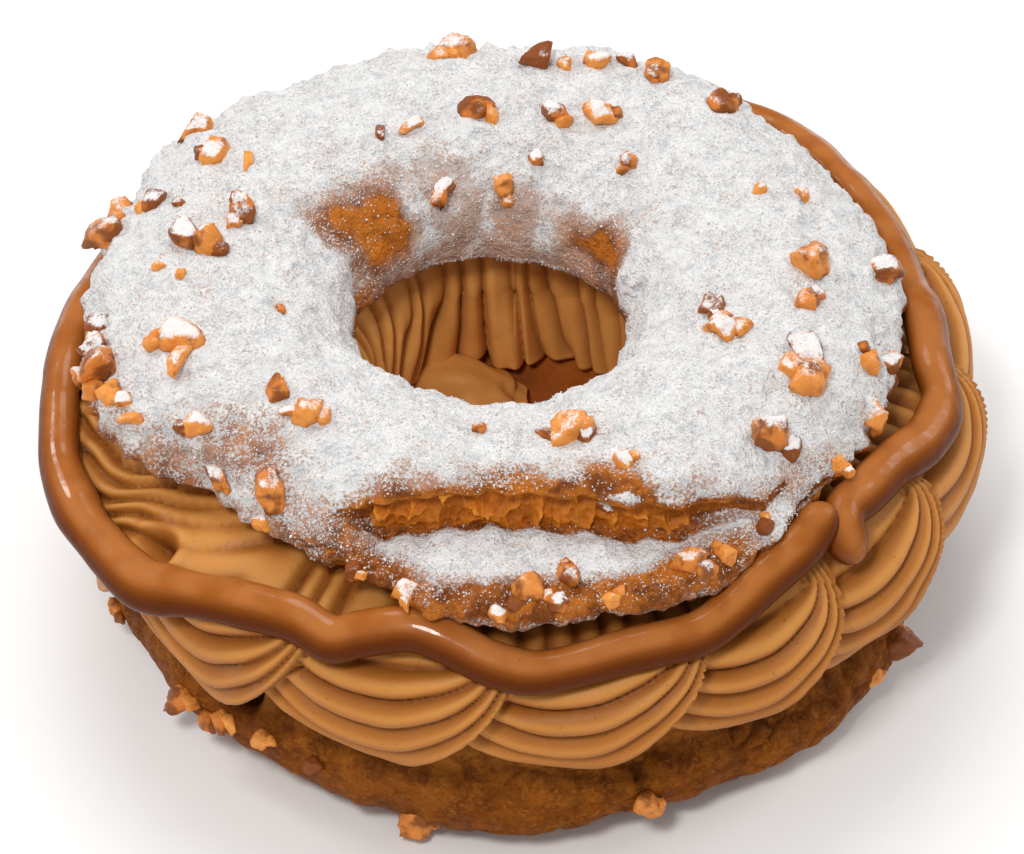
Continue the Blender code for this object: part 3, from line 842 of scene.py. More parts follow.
def make_cream_swags(sizes, ribbon, colours):
    """Outer cream: the envelope, with the swags' relief along its normal, over to under the lid."""
    # On the outside the rows are evenly far apart.
    fine = np.linspace(math.radians(-78.0), math.radians(50.0), 2000)
    radius, height = cream_envelope(sizes, fine)
    length = run_length(radius, height)
    outer = np.interp(np.linspace(0.0, length[-1], 82, endpoint=False), length, fine)
    top = np.linspace(math.radians(50.0), math.radians(112.0), 24)
    angle = np.concatenate([outer, top])
    radius, height = cream_envelope(sizes, angle)
    length = run_length(radius, height)
    down = np.interp(math.radians(44.0), angle, length) - length
    normal_r = np.cos(angle) / sizes.half_width
    normal_z = np.sin(angle) / sizes.half_height
    scale = np.hypot(normal_r, normal_z)
    normal_r, normal_z = normal_r / scale, normal_z / scale
    azimuth = azimuths(900)
    place = on_ring(azimuth, radius, height, CREAM_MIDDLE)
    turn = swag_turn(azimuth) + 0.030 * noise(place, 13.0 * MM, 31)
    shifted = down + 0.8 * MM * noise(place, 15.0 * MM, 32)
    slides = np.array(RIBBON_TURNS)[::-1, :2]
    wrapped = (np.degrees(azimuth) - slides[0, 0]) % 360.0 + slides[0, 0]
    ribbon_down = np.interp(wrapped, slides[:, 0], slides[:, 1]) * MM
    relief, painted_fold_shade = swag_relief(sizes, azimuth, turn, shifted, ribbon_down)
    relief = relief + MM * lumps(place, [(12.0, 0.35), (4.0, 0.10), (1.4, 0.03)], 41)
    radii, heights = press_bed(
        ribbon, azimuth, radius + relief * normal_r, height + relief * normal_z,
    )
    heights = np.clip(heights, 17.2 * MM, 42.3 * MM)
    # The section closes through the inside of the ring, where nothing shows.
    radii = closed(radii, np.array([34.0, 38.0, 44.0, 49.0]) * MM)
    heights = closed(heights, np.array([37.0, 25.0, 17.4, 17.2]) * MM)
    grid = on_ring(azimuth, radii, heights, CREAM_MIDDLE)
    upward = outward(grid)[:, : painted_fold_shade.shape[1], 2]
    # Painted shade in the folds and where the cream faces down.
    shade = clamp(clamp(painted_fold_shade * 0.95) ** 1.4 + 0.30 * ease(0.35, -0.35, upward))
    # Painted light on the crests that face up.
    painted_crest_light = 0.34 * ease(0.25, 0.0, painted_fold_shade) * ease(-0.1, 0.7, upward)
    marks = {"painted_fold_shade": closed(shade, np.zeros(4)), "painted_light": closed(painted_crest_light, np.zeros(4))}
    look = cream_look(colours)
    add_piece("praline_cream_swags", grid, look, ["praline_cream"], marks)


def wall_section(sizes, part):
    """Section of the inner cream: over from under the lid, straight down, and in at its foot.

    It is the swags' envelope down to its innermost line, then a line that leans a little into
    the hole, then a rounded foot on the base.
    """
    over, foot = 0.42, 0.88
    angle = math.radians(100.0) + ease(0.0, 1.0, part / over) * math.radians(80.0)
    radius, height = cream_envelope(sizes, angle)
    level = sizes.mid_height
    down = clamp((part - over) / (foot - over))
    radius = radius - 0.5 * MM * np.sin(0.5 * math.pi * down)
    height = np.where(part > over, level - down * (level - 17.4 * MM), height)
    tuck = ease(foot, 1.0, part)
    return radius + 5.0 * MM * tuck**2, height - 1.6 * MM * np.sin(0.5 * math.pi * tuck)


def make_cream_wall(sizes):
    """Inner cream: upright piped columns round the hole, some leaning, with painted shade in the gaps
    between.
    """
    part = np.linspace(0.0, 1.0, 96)
    radius, height = wall_section(sizes, part)
    azimuth = azimuths(760)
    place = on_ring(azimuth, radius, height, CREAM_MIDDLE)
    right_lean = 1.5 * turned(azimuth, 158.0, 48.0) * (part - 0.5)
    left_sweep = -2.4 * turned(azimuth, -118.0, 55.0) * (part - 0.3)
    jitter = 0.42 * noise(joined(np.degrees(azimuth) / 9.0, 0.5 * part, 0.0), 1.0, 51)
    number = sizes.wall_ridges * (azimuth / FULL_TURN) + right_lean + left_sweep + jitter
    # Each column rises over 0.62 of its width to a crest and falls off steeply behind it.
    crest = ridge_profile(number % 1.0, 0.62, 0.40, 0.8)
    grow = ease(0.05, 0.35, part)
    size = noise(joined(np.floor(number) * 3.1, part * 1.3, 0.0), 1.0, 57)
    relief = (crest - 1.0) * 2.3 * MM * grow + 0.9 * MM * size * grow
    relief = relief + MM * lumps(place, [(9.0, 0.6), (3.0, 0.12)], 53)
    petals = turned(azimuth, -103.0, 30.0) * grow
    relief = relief + 0.9 * MM * petals * (crest - 0.3)
    # Near the lid the relief stands up, and lower down it stands into the hole.
    sideways = ease(0.10, 0.5, part)
    radii = radius - relief * sideways
    heights = height + relief * (1.0 - sideways) - 0.7 * MM * size * ease(0.7, 0.9, part)
    heights = np.clip(heights, 15.6 * MM, 41.6 * MM)
    radii = closed(radii, np.array([31.0, 36.0, 42.0]) * MM)
    heights = closed(heights, np.array([16.8, 22.0, 34.0]) * MM)
    grid = on_ring(azimuth, radii, heights, CREAM_MIDDLE)
    # Painted shade in the gaps between the columns.
    shade = clamp((1.0 - crest) * 1.1 * grow) ** 1.2
    # Painted light on the columns, most on their crests and on the petals at the left, where light
    # reaches into the hole.
    painted_light = clamp(0.75 + 0.4 * petals + 0.15 * size) * (0.35 + 0.65 * crest)
    marks = {"painted_fold_shade": closed(shade, np.zeros(3)), "painted_light": closed(painted_light, np.zeros(3))}
    look = bpy.data.materials["praline_cream"]
    add_piece("praline_cream_wall", grid, look, ["praline_cream"], marks)
    make_smear()


def make_smear():
    """Cream that ran over the inner edge of the base: a low, uneven mound with a thin edge.

    It is a lens whose height falls off as one less the square of the distance from its middle,
    with smooth noise on its outline and its top.
    """
    rings, sides = 44, 96
    unit = ball_points(rings, sides)
    flat = np.concatenate([unit[:, :2], (unit[:, 2] * np.abs(unit[:, 2]))[:, None]], axis=1)
    outline = 1.0 + 0.30 * noise(unit * (1.0, 1.0, 0.3), 0.8, 121) + 0.10 * noise(unit, 0.35, 122)
    flat = flat * np.array([13.0, 7.6, 4.6]) * MM * outline[:, None]
    lean = math.radians(-14.0)
    x = flat[:, 0] * math.cos(lean) - flat[:, 1] * math.sin(lean)
    y = flat[:, 0] * math.sin(lean) + flat[:, 1] * math.cos(lean)
    points = np.stack([x - 7.4 * MM, y + 15.6 * MM, flat[:, 2] + 14.2 * MM], axis=-1)
    points[:, 2] += 0.5 * MM * noise(points, 4.0 * MM, 123) * ease(0.0, 0.5, unit[:, 2])
    # Painted light at half strength and a little painted shade, as on the wall.
    marks = {"painted_light": np.full(len(points), 0.50), "painted_fold_shade": np.full(len(points), 0.12)}
    look, faces = bpy.data.materials["praline_cream"], capsule_faces(1, rings, sides)
    add_piece("praline_cream_smear", points, look, (), marks, faces)


# ------------------------------------------------------------------ choux lid
def lid_dome(sizes, radius, hole_radius=None):
    """Top of the lid: a quarter ellipse from the crown to the rim, another to the hole.

    The hole's radius may be given, where it isn't the same all round.
    """
    hole_radius = sizes.hole_radius if hole_radius is None else hole_radius
    outer = clamp((radius - sizes.crown_radius) / (sizes.radius - sizes.crown_radius))
    inner = clamp((sizes.crown_radius - radius) / (sizes.crown_radius - hole_radius))
    fall = (sizes.crown_height - sizes.rim_height) * (1.0 - np.sqrt(1.0 - outer**2))
    dip = (sizes.crown_height - sizes.lip_height - 1.0 * MM) * (1.0 - np.sqrt(1.0 - inner**2))
    return sizes.crown_height - fall - dip


def lid_rim(sizes, azimuth):
    """Radius of the rim: slow waves, a flat at the left of the front and a swell at its right."""
    waves = 0.42 * np.sin(5.0 * azimuth + 0.4) + 0.35 * np.sin(11.0 * azimuth + 1.3)
    flat = 5.2 * turned(azimuth, -38.0, 31.0)
    swell = 1.6 * turned(azimuth, 26.0, 22.0)
    notch = 0.9 * turned(azimuth, -16.0, 8.0)
    return sizes.radius + (waves - flat + swell - notch) * MM


def tear_line(sizes, azimuth):
    """Radius of the tear, straight but for its right end, and how open it is from 0 to 1."""
    angle = np.clip(azimuth, math.radians(-27.0), math.radians(42.0))
    straight = sizes.tear_distance / np.cos(angle)
    radius = straight - np.maximum(straight - 47.0 * MM, 0.0) * 0.5
    degrees = np.degrees(azimuth)
    open_part = ease(-27.0, -16.0, degrees) * (1.0 - ease(24.0, 51.0, degrees))
    return radius, open_part


def lip_radius(sizes, azimuth):
    """Radius of the lid's hole: nearer on its far side, scalloped."""
    waves = 0.45 * np.abs(np.sin(9.0 * azimuth + 0.6)) + 0.25 * np.sin(17.0 * azimuth)
    return sizes.hole_radius - (1.9 * turned(azimuth, 180.0, 85.0) + waves - 0.3) * MM


# Rows from each key of the lid's section to the next: five keys on its underside and its rim,
# twelve from the ledge below the tear to the far side of the top, and three round the lip.
LID_ROWS = (2, 3, 4, 3, 4, 6, 13, 10, 5, 6, 5, 3, 20, 20, 14, 10, 6, 3, 3, 2)
# The row of the lid's grid at which its top begins.
TOP_ROW = sum(LID_ROWS[:5])


def lid_columns(sizes, azimuth):
    """Key points of the lid's section at each azimuth, from its underside up and over.

    Along the tear the keys gather at its two edges, and away from it they spread evenly. Each
    key stands on the dome and moves to its place on the ledge, in the gap or on the upper edge as
    the tear opens.
    """
    rim = lid_rim(sizes, azimuth)
    tear, opened = tear_line(sizes, azimuth)
    lip = lip_radius(sizes, azimuth)
    degrees = np.degrees(azimuth)
    gathered = ease(-46.0, -29.0, degrees) * (1.0 - ease(53.0, 70.0, degrees))
    ground = joined(np.sin(azimuth), np.cos(azimuth), 0.0) * sizes.tear_distance
    ragged = MM * opened * lumps(ground, [(5.0, 0.8), (2.2, 0.6), (1.1, 0.35)], 61)
    tear = np.minimum(tear + ragged, rim - 2.2 * MM)
    drop, recess = sizes.tear_drop, 2.4 * MM
    under = sizes.underside
    foot = tear + 0.8 * MM

    def dome(radius):
        return lid_dome(sizes, sizes.radius * radius / rim, sizes.radius * lip / rim - 0.3 * MM)

    # For each key: its radius when shut and when open, and its height above the dome when open.
    torn = []
    for share in (0.93, 0.78, 0.4):
        radius = foot + share * (rim - foot)
        ledge = dome(foot) - drop + share**2 * (sizes.rim_height + 0.9 * MM - dome(foot) + drop)
        torn += [(radius, radius, ledge - dome(radius))]
    edge = dome(tear)
    torn += [(foot, foot, -drop)]
    gap = foot - 0.5 * MM - recess
    torn += [(tear + 0.4 * MM, gap, edge - drop + 0.3 * MM - dome(gap))]
    gap = tear + 0.1 * MM - 0.9 * recess
    torn += [(tear + 0.05 * MM, gap, edge - 1.9 * MM - dome(gap))]
    torn += [(tear - 0.3 * MM, tear + 0.2 * MM, -0.7 * MM), (tear - 0.7 * MM, tear - 0.7 * MM, 0.0)]
    for share in (0.3, 0.6, 0.8, 0.93):
        radius = tear + share * (lip + 0.3 * MM - tear)
        torn += [(radius, radius, 0.0)]
    keys = [(lip + 9.0 * MM, under - 1.0 * MM), (0.5 * (lip + rim) + 4.0 * MM, under)]
    hang = 1.1 * MM * turned(azimuth, 14.0, 44.0)
    keys += [(rim - 2.6 * MM, under + 0.2 * MM - hang), (rim - 0.5 * MM, under + 0.9 * MM - hang)]
    keys += [(rim + 0.1 * MM, sizes.rim_height + 0.5 * MM)]
    passed = np.cumsum(LID_ROWS[4:17])
    for (shut, gaping, above), share in zip(torn, passed / passed[-1]):
        even = rim + share * (lip + 0.8 * MM - rim)
        radius = even + gathered * (shut - even) + opened * (gaping - shut)
        keys += [(radius, dome(radius) + opened * above)]
    for inwards, above in ((0.1, 1.2), (0.3, 0.1), (2.0, 0.3)):
        keys += [(lip + inwards * MM, sizes.lip_height + above * MM)]
    return np.stack([joined(*key) for key in keys], axis=-2)


# Where the crust inside the hole was rubbed bare: azimuth and half width in degrees, the radius
# that the patch reaches in millimetres, and how bare it is.
BARE_PATCHES = (
    (-127, 26, 30.5, 1.3), (-163, 12, 21.5, 0.6), (171, 13, 23, 0.8), (128, 21, 25.5, 1.1),
)


def sugar_cover(sizes, grid, azimuth, radius, normal_z, below_tear):
    """How much sugar lies at each point, from 0 to 1.

    Sugar settles on what faces up, in uneven patches.  It is thin on the rim, on the far side of
    the hole, on the low left of the front, and just above the tear, and missing in a few rubbed
    patches.
    """
    rim = lid_rim(sizes, azimuth)
    share = radius / rim
    front = turned(azimuth, 14.0, 46.0)
    left = turned(azimuth, -46.0, 46.0)
    facing = ease(-0.15 + 0.25 * front, 0.50 + 0.25 * front, normal_z)
    cover = 1.46 * np.maximum(facing, 0.85 * left * ease(-0.95, -0.6, normal_z))
    cover = cover - lumps(grid, [(11.0, 0.30), (5.0, 0.18)], 111)
    cover = cover - (0.15 + 1.28 * front) * ease(0.87, 0.97, share)
    cover = cover - 0.74 * ease(0.60, 0.90, share) * left
    cover = cover - 0.60 * ease(0.90, 0.97, share) * turned(azimuth, 62.0, 22.0)
    cover = np.maximum(cover, 0.38 * left * ease(-0.95, -0.6, normal_z))
    inner = 1.0 - ease(19.0 * MM, 33.0 * MM, radius)
    cover = cover - 0.76 * inner * turned(azimuth, 180.0, 88.0)
    uneven = lumps(grid, [(6.0, 1.6), (2.6, 1.0)], 113)
    for middle, width, reach, amount in BARE_PATCHES:
        near = 1.0 - ease(reach - 8.0, reach + 1.5, radius / MM + uneven)
        cover = cover - amount * near * turned(azimuth + 0.05 * uneven, middle, width)
    tear, opened = tear_line(sizes, azimuth)
    above = (1.0 - ease(1.0 * MM, 8.5 * MM, tear - radius + uneven * MM)) * (radius < tear)
    cover = cover - 1.02 * opened * above * (1.0 - below_tear)
    cover = cover - 0.14 * front * ease(0.50, 0.75, share)
    grains = (0.22 + 0.16 * ease(0.1, -0.4, normal_z)) * front * ease(0.86, 0.92, share)
    cover = np.maximum(cover, grains)
    fringe = 1.0 - ease(0.2 * MM, 1.1 * MM, radius - lip_radius(sizes, azimuth))
    cover = cover + 0.45 * fringe * turned(azimuth, 180.0, 100.0)
    return clamp(cover)


def make_lid(sizes, colours):
    """Lid: its section swept round the ring, ragged at its rims, lumpy, with a skin of sugar."""
    azimuth = azimuths(700)
    rows = spline_rows(lid_columns(sizes, azimuth[:, 0]), LID_ROWS)
    radius, height = rows[..., 0], rows[..., 1]
    grid = on_ring(azimuth, radius, height, LID_MIDDLE)
    starts = np.cumsum((0,) + LID_ROWS)
    row = np.arange(radius.shape[1])

    def rows_within(first, full, fading, past):
        return ease(first, full, row) * (1.0 - ease(fading, past, row))

    at_rim = rows_within(starts[1], starts[2], starts[5], starts[7])
    at_hole = rows_within(starts[15], starts[16], starts[18], starts[19])
    on_top = rows_within(starts[4], starts[5], starts[17], starts[18])
    _, opened = tear_line(sizes, azimuth)
    in_tear = opened * rows_within(starts[8] - 1, starts[8] + 1, starts[11], starts[12])
    below_tear = 1.0 - ease(starts[10], starts[11], row)
    normal = outward(grid)
    cover = sugar_cover(sizes, grid, azimuth, radius, normal[..., 2], below_tear)
    cover = cover * (1.0 - 0.9 * in_tear)
    shape = lumps(grid, [(19.0, 0.7), (9.0, 0.40), (4.5, 0.22)], 71)
    bumpy = lumps(grid, [(2.8, 0.24), (1.6, 0.20), (1.0, 0.12)], 73)
    gritty = lumps(grid, [(1.9, 0.40), (1.1, 0.34), (0.7, 0.18)], 75)
    layers = [(6.0, 0.55), (3.0, 0.50), (1.5, 0.30)]
    ragged = lumps(grid * (1.0, 1.0, 0.4), layers, 77)
    relief = on_top * (shape + bumpy * (0.4 + 1.2 * cover) + gritty * (1.0 - cover) * 0.8)
    relief = relief + at_rim * (ragged + 1.2 * gritty) + at_hole * 0.8 * ragged
    relief = relief + 0.35 * cover * on_top
    relief = relief * (1.0 - 0.6 * in_tear)
    grid = grid + normal * (relief * MM)[..., None]
    moist = (1.0 - ease(21.0 * MM, 36.0 * MM, radius)) * turned(azimuth, 180.0, 100.0)
    # The underside stays clear of the cream and of the ribbon.
    grid[..., 2] = np.maximum(grid[..., 2], sizes.lip_height + 0.4 * MM)
    marks = {"cover": cover, "moist": moist}
    look = sugared_look(colours)
    add_piece("choux_lid_crust", grid, look, ["choux_lid"], marks)
    return grid, outward(grid), cover


def make_crumb(sizes, colours):
    """Crumb: a strip along the tear, its face a foam of arched pockets.

    A pocket is a part of a ball about one of the points strewn over the face: its depth is the
    square root of one less its squared distance from the point over its reach. The balls nearly
    touch one another, so that only thin walls are left between them.
    """
    along, up = 760, 64
    azimuth = np.radians(np.linspace(-26.0, 50.0, along))[:, None]
    tear, opened = tear_line(sizes, azimuth)
    rim = lid_rim(sizes, azimuth)
    scaled = sizes.radius * tear / rim
    top = lid_dome(sizes, scaled) - 0.4 * MM
    bottom = lid_dome(sizes, scaled) - sizes.tear_drop * opened - 0.9 * MM
    part = np.linspace(0.0, 1.0, up)
    height = bottom + part * (top - bottom)
    radius = tear - 1.0 * MM + 2.0 * MM * (1.0 - part) ** 1.3
    face = on_ring(azimuth, radius, height, LID_MIDDLE)
    run = azimuth * 46.0 * MM
    across = run + 0.22 * MM * noise(face, 1.4 * MM, 81)
    level = height - bottom + 0.22 * MM * noise(face, 1.4 * MM, 82)
    spread = joined(run, 0.0, height - bottom)
    depth = 0.0
    # Size of the pockets, their reach as a share of it, their depth and the seed.
    pockets = ((2.3, 0.72, 1.0, 83), (1.2, 0.62, 0.34, 87), (0.6, 0.58, 0.12, 93))
    for size, reach, deep, seed in pockets:
        near = bubbles(across, 0.74 * level, size * MM, seed)
        vary = 0.72 + 0.28 * ease(-0.5, 0.4, noise(spread, 1.3 * size * MM, seed + 1))
        pocket = np.sqrt(clamp(1.0 - (near / reach) ** 2))
        depth = depth + deep * pocket * vary * (1.0 - 0.6 * clamp(depth))
    depth = np.clip(depth, 0.0, 1.2) * (1.0 - 0.8 * ease(0.90, 1.0, part))
    rough = 0.16 * noise(face, 1.6 * MM, 91) + 0.07 * noise(face, 0.6 * MM, 92)
    rough = rough + 0.5 * noise(face, 5.0 * MM, 94)
    radii = radius - (2.0 * depth - rough) * MM * opened - 1.9 * MM * (1.0 - opened)
    back = np.array([3.6, 4.2, 3.6]) * MM
    radii = np.concatenate([radii, tear - back], axis=1)
    heights = np.concatenate([height, top, 0.5 * (top + bottom), bottom], axis=1)
    grid = on_ring(azimuth, radii, heights, LID_MIDDLE)
    ends = grid[[0, -1]].mean(axis=1)
    # Depth of the pockets, kept for their painted shade.
    deep = closed(depth / 1.2, np.ones(3)).ravel()
    add_piece(
        "lid_crumb", np.concatenate([grid.reshape(-1, 3), ends]), crumb_look(colours),
        (), {"depth": np.concatenate([deep, [1.0, 1.0]])}, capsule_faces(1, along, up + 3),
    )


# ------------------------------------------------------------------ nuts and sugar
# The larger nuts on the lid: azimuth in degrees, radius from the lid's middle and length in
# millimetres, and kind, where it isn't a chunk.
LID_NUTS = (
    (-174, 47, 5.6), (-171, 45, 3.4), (172, 43, 4.2), (167, 43, 2.4), (161, 44, 3.8),
    (157, 46, 2.8), (151, 46, 3.9), (137, 45, 4.4), (-177, 31, 4), (165, 32, 3.9), (154, 33, 4),
    (-150, 30, 3.2, "splinter"), (-159, 30, 4.4, "splinter"), (-128, 50, 4), (-121, 43, 4.2),
    (-122, 38, 3.4, "splinter"), (-109, 47, 3.9), (-107, 43, 1.8), (-111, 53, 4), (-104, 52, 4.9),
    (-107, 34, 4.3), (-97, 40, 4.6), (-95, 37, 4.2), (-99, 38, 3.2, "splinter"), (-90, 43, 1.7),
    (-87, 40, 1.8), (140, 28, 2.8), (112, 38, 2), (109, 43, 3.4, "splinter"), (166, 22, 4.2),
    (176, 21, 3.4), (-161, 20.5, 6.2, "splinter"), (172, 18.6, 4, "splinter"), (90, 41, 5.2),
    (94, 51, 4.6), (77, 29, 3.6), (67, 32, 4.4), (71, 31, 3.8, "splinter"), (80, 41, 3.8),
    (69, 42, 6.5, "flake"), (62, 45, 5.4), (73, 50, 3.4), (77, 52, 3.6), (68, 52, 4.4),
    (49, 46, 5.6), (-84, 51, 4.8), (-78, 52, 4.6), (-74, 52, 5.2), (-71, 42, 5.6),
    (-66, 43, 6, "splinter"), (-67, 52, 4.2), (-62, 51, 3.8, "splinter"), (-48, 36, 3.4),
    (-39, 36, 4.4), (-42, 37, 3.2, "splinter"), (-74, 28, 1.6), (-3, 29, 2),
    (13, 32, 4, "splinter"), (17, 32, 5.2), (24, 40, 3), (19, 41, 3.6, "splinter"),
    (-54, 45.5, 3.8), (-48, 46.3, 6, "splinter"), (-37, 45.6, 4.4), (5, 51.5, 4.4), (9, 53, 2.8),
    (11, 50, 3.2), (28, 52, 4.2), (1, 53.5, 2.4), (16, 53.5, 2.6), (33, 53, 3), (-12, 50.5, 3),
    (-20, 49, 2.6), (-24, 47.5, 2.4, "splinter"), (40, 52.5, 2.6), (56, 52.5, 3),
)
# The nuts stuck to the side of the base, all chunks: azimuth, height above the table, length.
BASE_NUTS = (
    (-49, 8.6, 4), (-44.5, 7.6, 3.4), (-42, 9.5, 3.4), (-35, 10.3, 2.8), (-27, 10.1, 2.4),
    (-13, 3, 5), (17, 8.7, 3.4), (61, 9, 5.2), (55, 8.1, 2.6), (-70, 7, 3), (102, 8, 3.4),
    (128, 6, 4), (150, 9, 3), (171, 7.5, 3.6), (-158, 9, 3), (-126, 7, 4), (-101, 8.6, 3),
)
# Length, width and thickness of each kind, as shares of its length.
NUT_SHAPES = {"chunk": (1.0, 0.86, 0.84), "splinter": (1.0, 0.42, 0.34), "flake": (1.0, 0.62, 0.16)}


def turns_about(axis, angle):
    """Rotation matrices by angles about axes, from the outer and cross products."""
    axis = axis / np.linalg.norm(axis, axis=-1, keepdims=True)
    cosine, sine = np.cos(angle)[:, None, None], np.sin(angle)[:, None, None]
    outer = axis[:, :, None] * axis[:, None, :]
    x, y, z = axis.T
    nil = np.zeros_like(x)
    crossed = np.stack([nil, -z, y, z, nil, -x, -y, x, nil], axis=-1).reshape(-1, 3, 3)
    return cosine * np.eye(3) + (1.0 - cosine) * outer + sine * crossed


def chopped(random, lengths, shapes, rings, sides):
    """Chopped nuts about the origin: each direction's reach is a soft minimum of cut planes.

    A plane at distance d with normal n lets the ray of direction u reach d / (u.n); the reach
    is one over the 36-norm of the planes' u.n / d, so the cuts meet in slightly worn edges, and
    noise roughens it.
    """
    count, planes = len(lengths), 15
    ray = ball_points(rings, sides)
    facing = random.normal(size=(count, planes, 3))
    facing[:, :6] = 0.26 * facing[:, :6] + np.concatenate([np.eye(3), -np.eye(3)])[None]
    facing /= np.linalg.norm(facing, axis=-1, keepdims=True)
    distance = random.uniform(0.35, 0.47, size=(count, planes))
    distance[:, 6:] += 0.07
    reached = np.maximum(np.einsum("gk,nmk->ngm", ray, facing), 0.0) / distance[:, None, :]
    reach = np.minimum(np.sum(reached**36.0, axis=-1) ** (-1.0 / 36.0), 0.85)
    place = ray[None] * 3.0 + 40.0 * np.arange(count)[:, None, None]
    reach = reach * (1.0 + 0.10 * noise(place, 1.3, 97) + 0.07 * noise(place, 0.5, 98))
    solid = ray[None] * reach[..., None] * shapes[:, None, :]
    bend = 0.5 * (solid[..., 0] ** 2)[..., None] * np.array([0.0, 0.0, 1.0])
    solid = (solid - bend) * lengths[:, None, None]
    tips = turns_about(random.normal(size=(count, 3)), random.uniform(0.0, 0.45, count))
    spin = turns_about(np.tile([0.0, 0.0, 1.0], (count, 1)), random.uniform(0.0, FULL_TURN, count))
    solid = np.einsum("nij,ngj->ngi", tips, solid)
    return np.einsum("nij,ngj->ngi", spin, solid)


def facing_up(points, faces):
    """How far each point's normal points up, from -1 to 1, from the faces around it."""
    normal = np.zeros_like(points)
    for group in faces:
        a, b, c = (points[group[:, corner]] for corner in (0, 1, 2))
        across = np.cross(b - a, c - a)
        for corner in range(group.shape[1]):
            for axis in range(3):
                normal[:, axis] += np.bincount(group[:, corner], across[:, axis], len(points))
    return normal[:, 2] / np.maximum(np.linalg.norm(normal, axis=1), 1e-12)


def make_nuts(sizes, base, lid_grid, colours):
    """Nuts: chopped shapes set on the lid and on the side of the base, sunk a little way in.

    A chunk has a smaller piece broken from it lying against its side.
    """
    random = np.random.default_rng(12)
    look = nut_look(colours)
    rings, sides = 16, 24
    for name, table, sugar in (("lid_nuts", LID_NUTS, 0.66), ("base_nuts", BASE_NUTS, 0.0)):
        numbers = np.array([row[:3] for row in table], dtype=float)
        azimuth, second = np.radians(numbers[:, 0]), numbers[:, 1] * MM
        lengths = numbers[:, 2] * MM * sizes.nut_scale
        kinds = [row[3] if len(row) > 3 else "chunk" for row in table]
        shapes = np.array([NUT_SHAPES[kind] for kind in kinds])
        broken = (np.array(kinds) == "chunk") & (numbers[:, 2] > 2.5)
        away = random.uniform(0.0, FULL_TURN, len(table))
        if name == "lid_nuts":
            spots = on_ring(azimuth, second, 0.0, LID_MIDDLE)
            beside = joined(np.cos(away), np.sin(away), 0.0)
        else:
            radius = side_radius(base, second) + base_radius_swell(azimuth) + 0.16 * lengths
            spots = on_ring(azimuth, radius, second, BASE_MIDDLE)
            beside = joined(np.cos(azimuth), np.sin(azimuth), 0.6 * np.cos(away))
        spots = np.concatenate([spots, (spots + 0.46 * lengths[:, None] * beside)[broken]])
        lengths = np.concatenate([lengths, 0.62 * lengths[broken]])
        shapes = np.concatenate([shapes, shapes[broken]])
        if name == "lid_nuts":
            # A nut at the edge stands on the rim, whose last rows are searched too.
            flat = lid_grid[:, TOP_ROW - 3 :].reshape(-1, 3)
            near = [np.argmin(np.sum((flat[:, :2] - spot[:2]) ** 2, axis=1)) for spot in spots]
            spots[:, 2] = flat[near, 2] + 0.14 * lengths
        solid = chopped(random, lengths, shapes, rings, sides)
        points = (solid + spots[:, None, :]).reshape(-1, 3)
        if name == "base_nuts":
            points[:, 2] = np.maximum(points[:, 2], 0.2 * MM)
        faces = outward_faces(points, capsule_faces(len(lengths), rings, sides))
        up = facing_up(points, faces)
        each = rings * sides + 2
        dusted = np.repeat(random.uniform(-0.55, 0.45, len(lengths)), each)
        patch = noise(points, 2.4 * MM, 95)
        cover = clamp(ease(0.35, 0.92, up) * (sugar + dusted + 0.5 * patch)) * (sugar > 0.0)
        tone = np.repeat(random.uniform(0.0, 1.0, len(lengths)), each)
        add_piece(name, points, look, (), {"cover": cover, "tone": tone}, faces)


def make_sugar(sizes, lid_grid, lid_normal, cover, colours):
    """Sugar: small clumps on the white of the lid and loose grains on its thin places."""
    random = np.random.default_rng(33)
    golden = 0.5 * (1.0 + math.sqrt(5.0))
    ball = np.array(
        [(x, y * golden, 0.0) for x in (-1, 1) for y in (-1, 1)]
        + [(0.0, x, y * golden) for x in (-1, 1) for y in (-1, 1)]
        + [(y * golden, 0.0, x) for x in (-1, 1) for y in (-1, 1)]
    ) / math.hypot(1.0, golden)
    gap = np.linalg.norm(ball[:, None] - ball[None], axis=-1)
    corners = [
        (a, b, c)
        for a in range(12) for b in range(a + 1, 12) for c in range(b + 1, 12)
        if max(gap[a, b], gap[b, c], gap[a, c]) < 1.1
    ]
    corners = np.array([
        (a, b, c) if np.dot(ball[a], np.cross(ball[b], ball[c])) > 0.0 else (a, c, b)
        for a, b, c in corners
    ])
    flat = lid_grid[:, TOP_ROW:].reshape(-1, 3)
    normal = lid_normal[:, TOP_ROW:].reshape(-1, 3)
    cover = cover[:, TOP_ROW:].reshape(-1)
    chance = (0.10 + 1.0 * np.exp(-(((cover - 0.45) / 0.28) ** 2))) * ease(-0.1, 0.3, normal[:, 2])
    count = int(sizes.grain_count)
    chosen = random.choice(len(flat), count, replace=False, p=chance / chance.sum())
    size = random.uniform(0.05, 0.13, count) * MM * (1.0 + 0.9 * (random.uniform(size=count) > 0.95))
    wobble = random.uniform(0.65, 1.25, (count, 12, 1))
    aside = random.normal(size=(count, 3)) * 0.22 * MM
    aside -= normal[chosen] * np.sum(aside * normal[chosen], axis=1, keepdims=True)
    middle = flat[chosen] + aside + 0.35 * normal[chosen] * size[:, None]
    points = middle[:, None, :] + ball[None] * wobble * size[:, None, None]
    faces = [(corners[None] + 12 * np.arange(count)[:, None, None]).reshape(-1, 3)]
    add_piece("sugar_grains", points, sugar_look(colours), faces=faces)


# ------------------------------------------------------------------ sizes and colours
def metres(name, description, default):
    """Length that a user may change, in metres."""
    return FloatProperty(
        name=name, description=description, default=default, unit="LENGTH", subtype="DISTANCE",
        precision=4,
    )


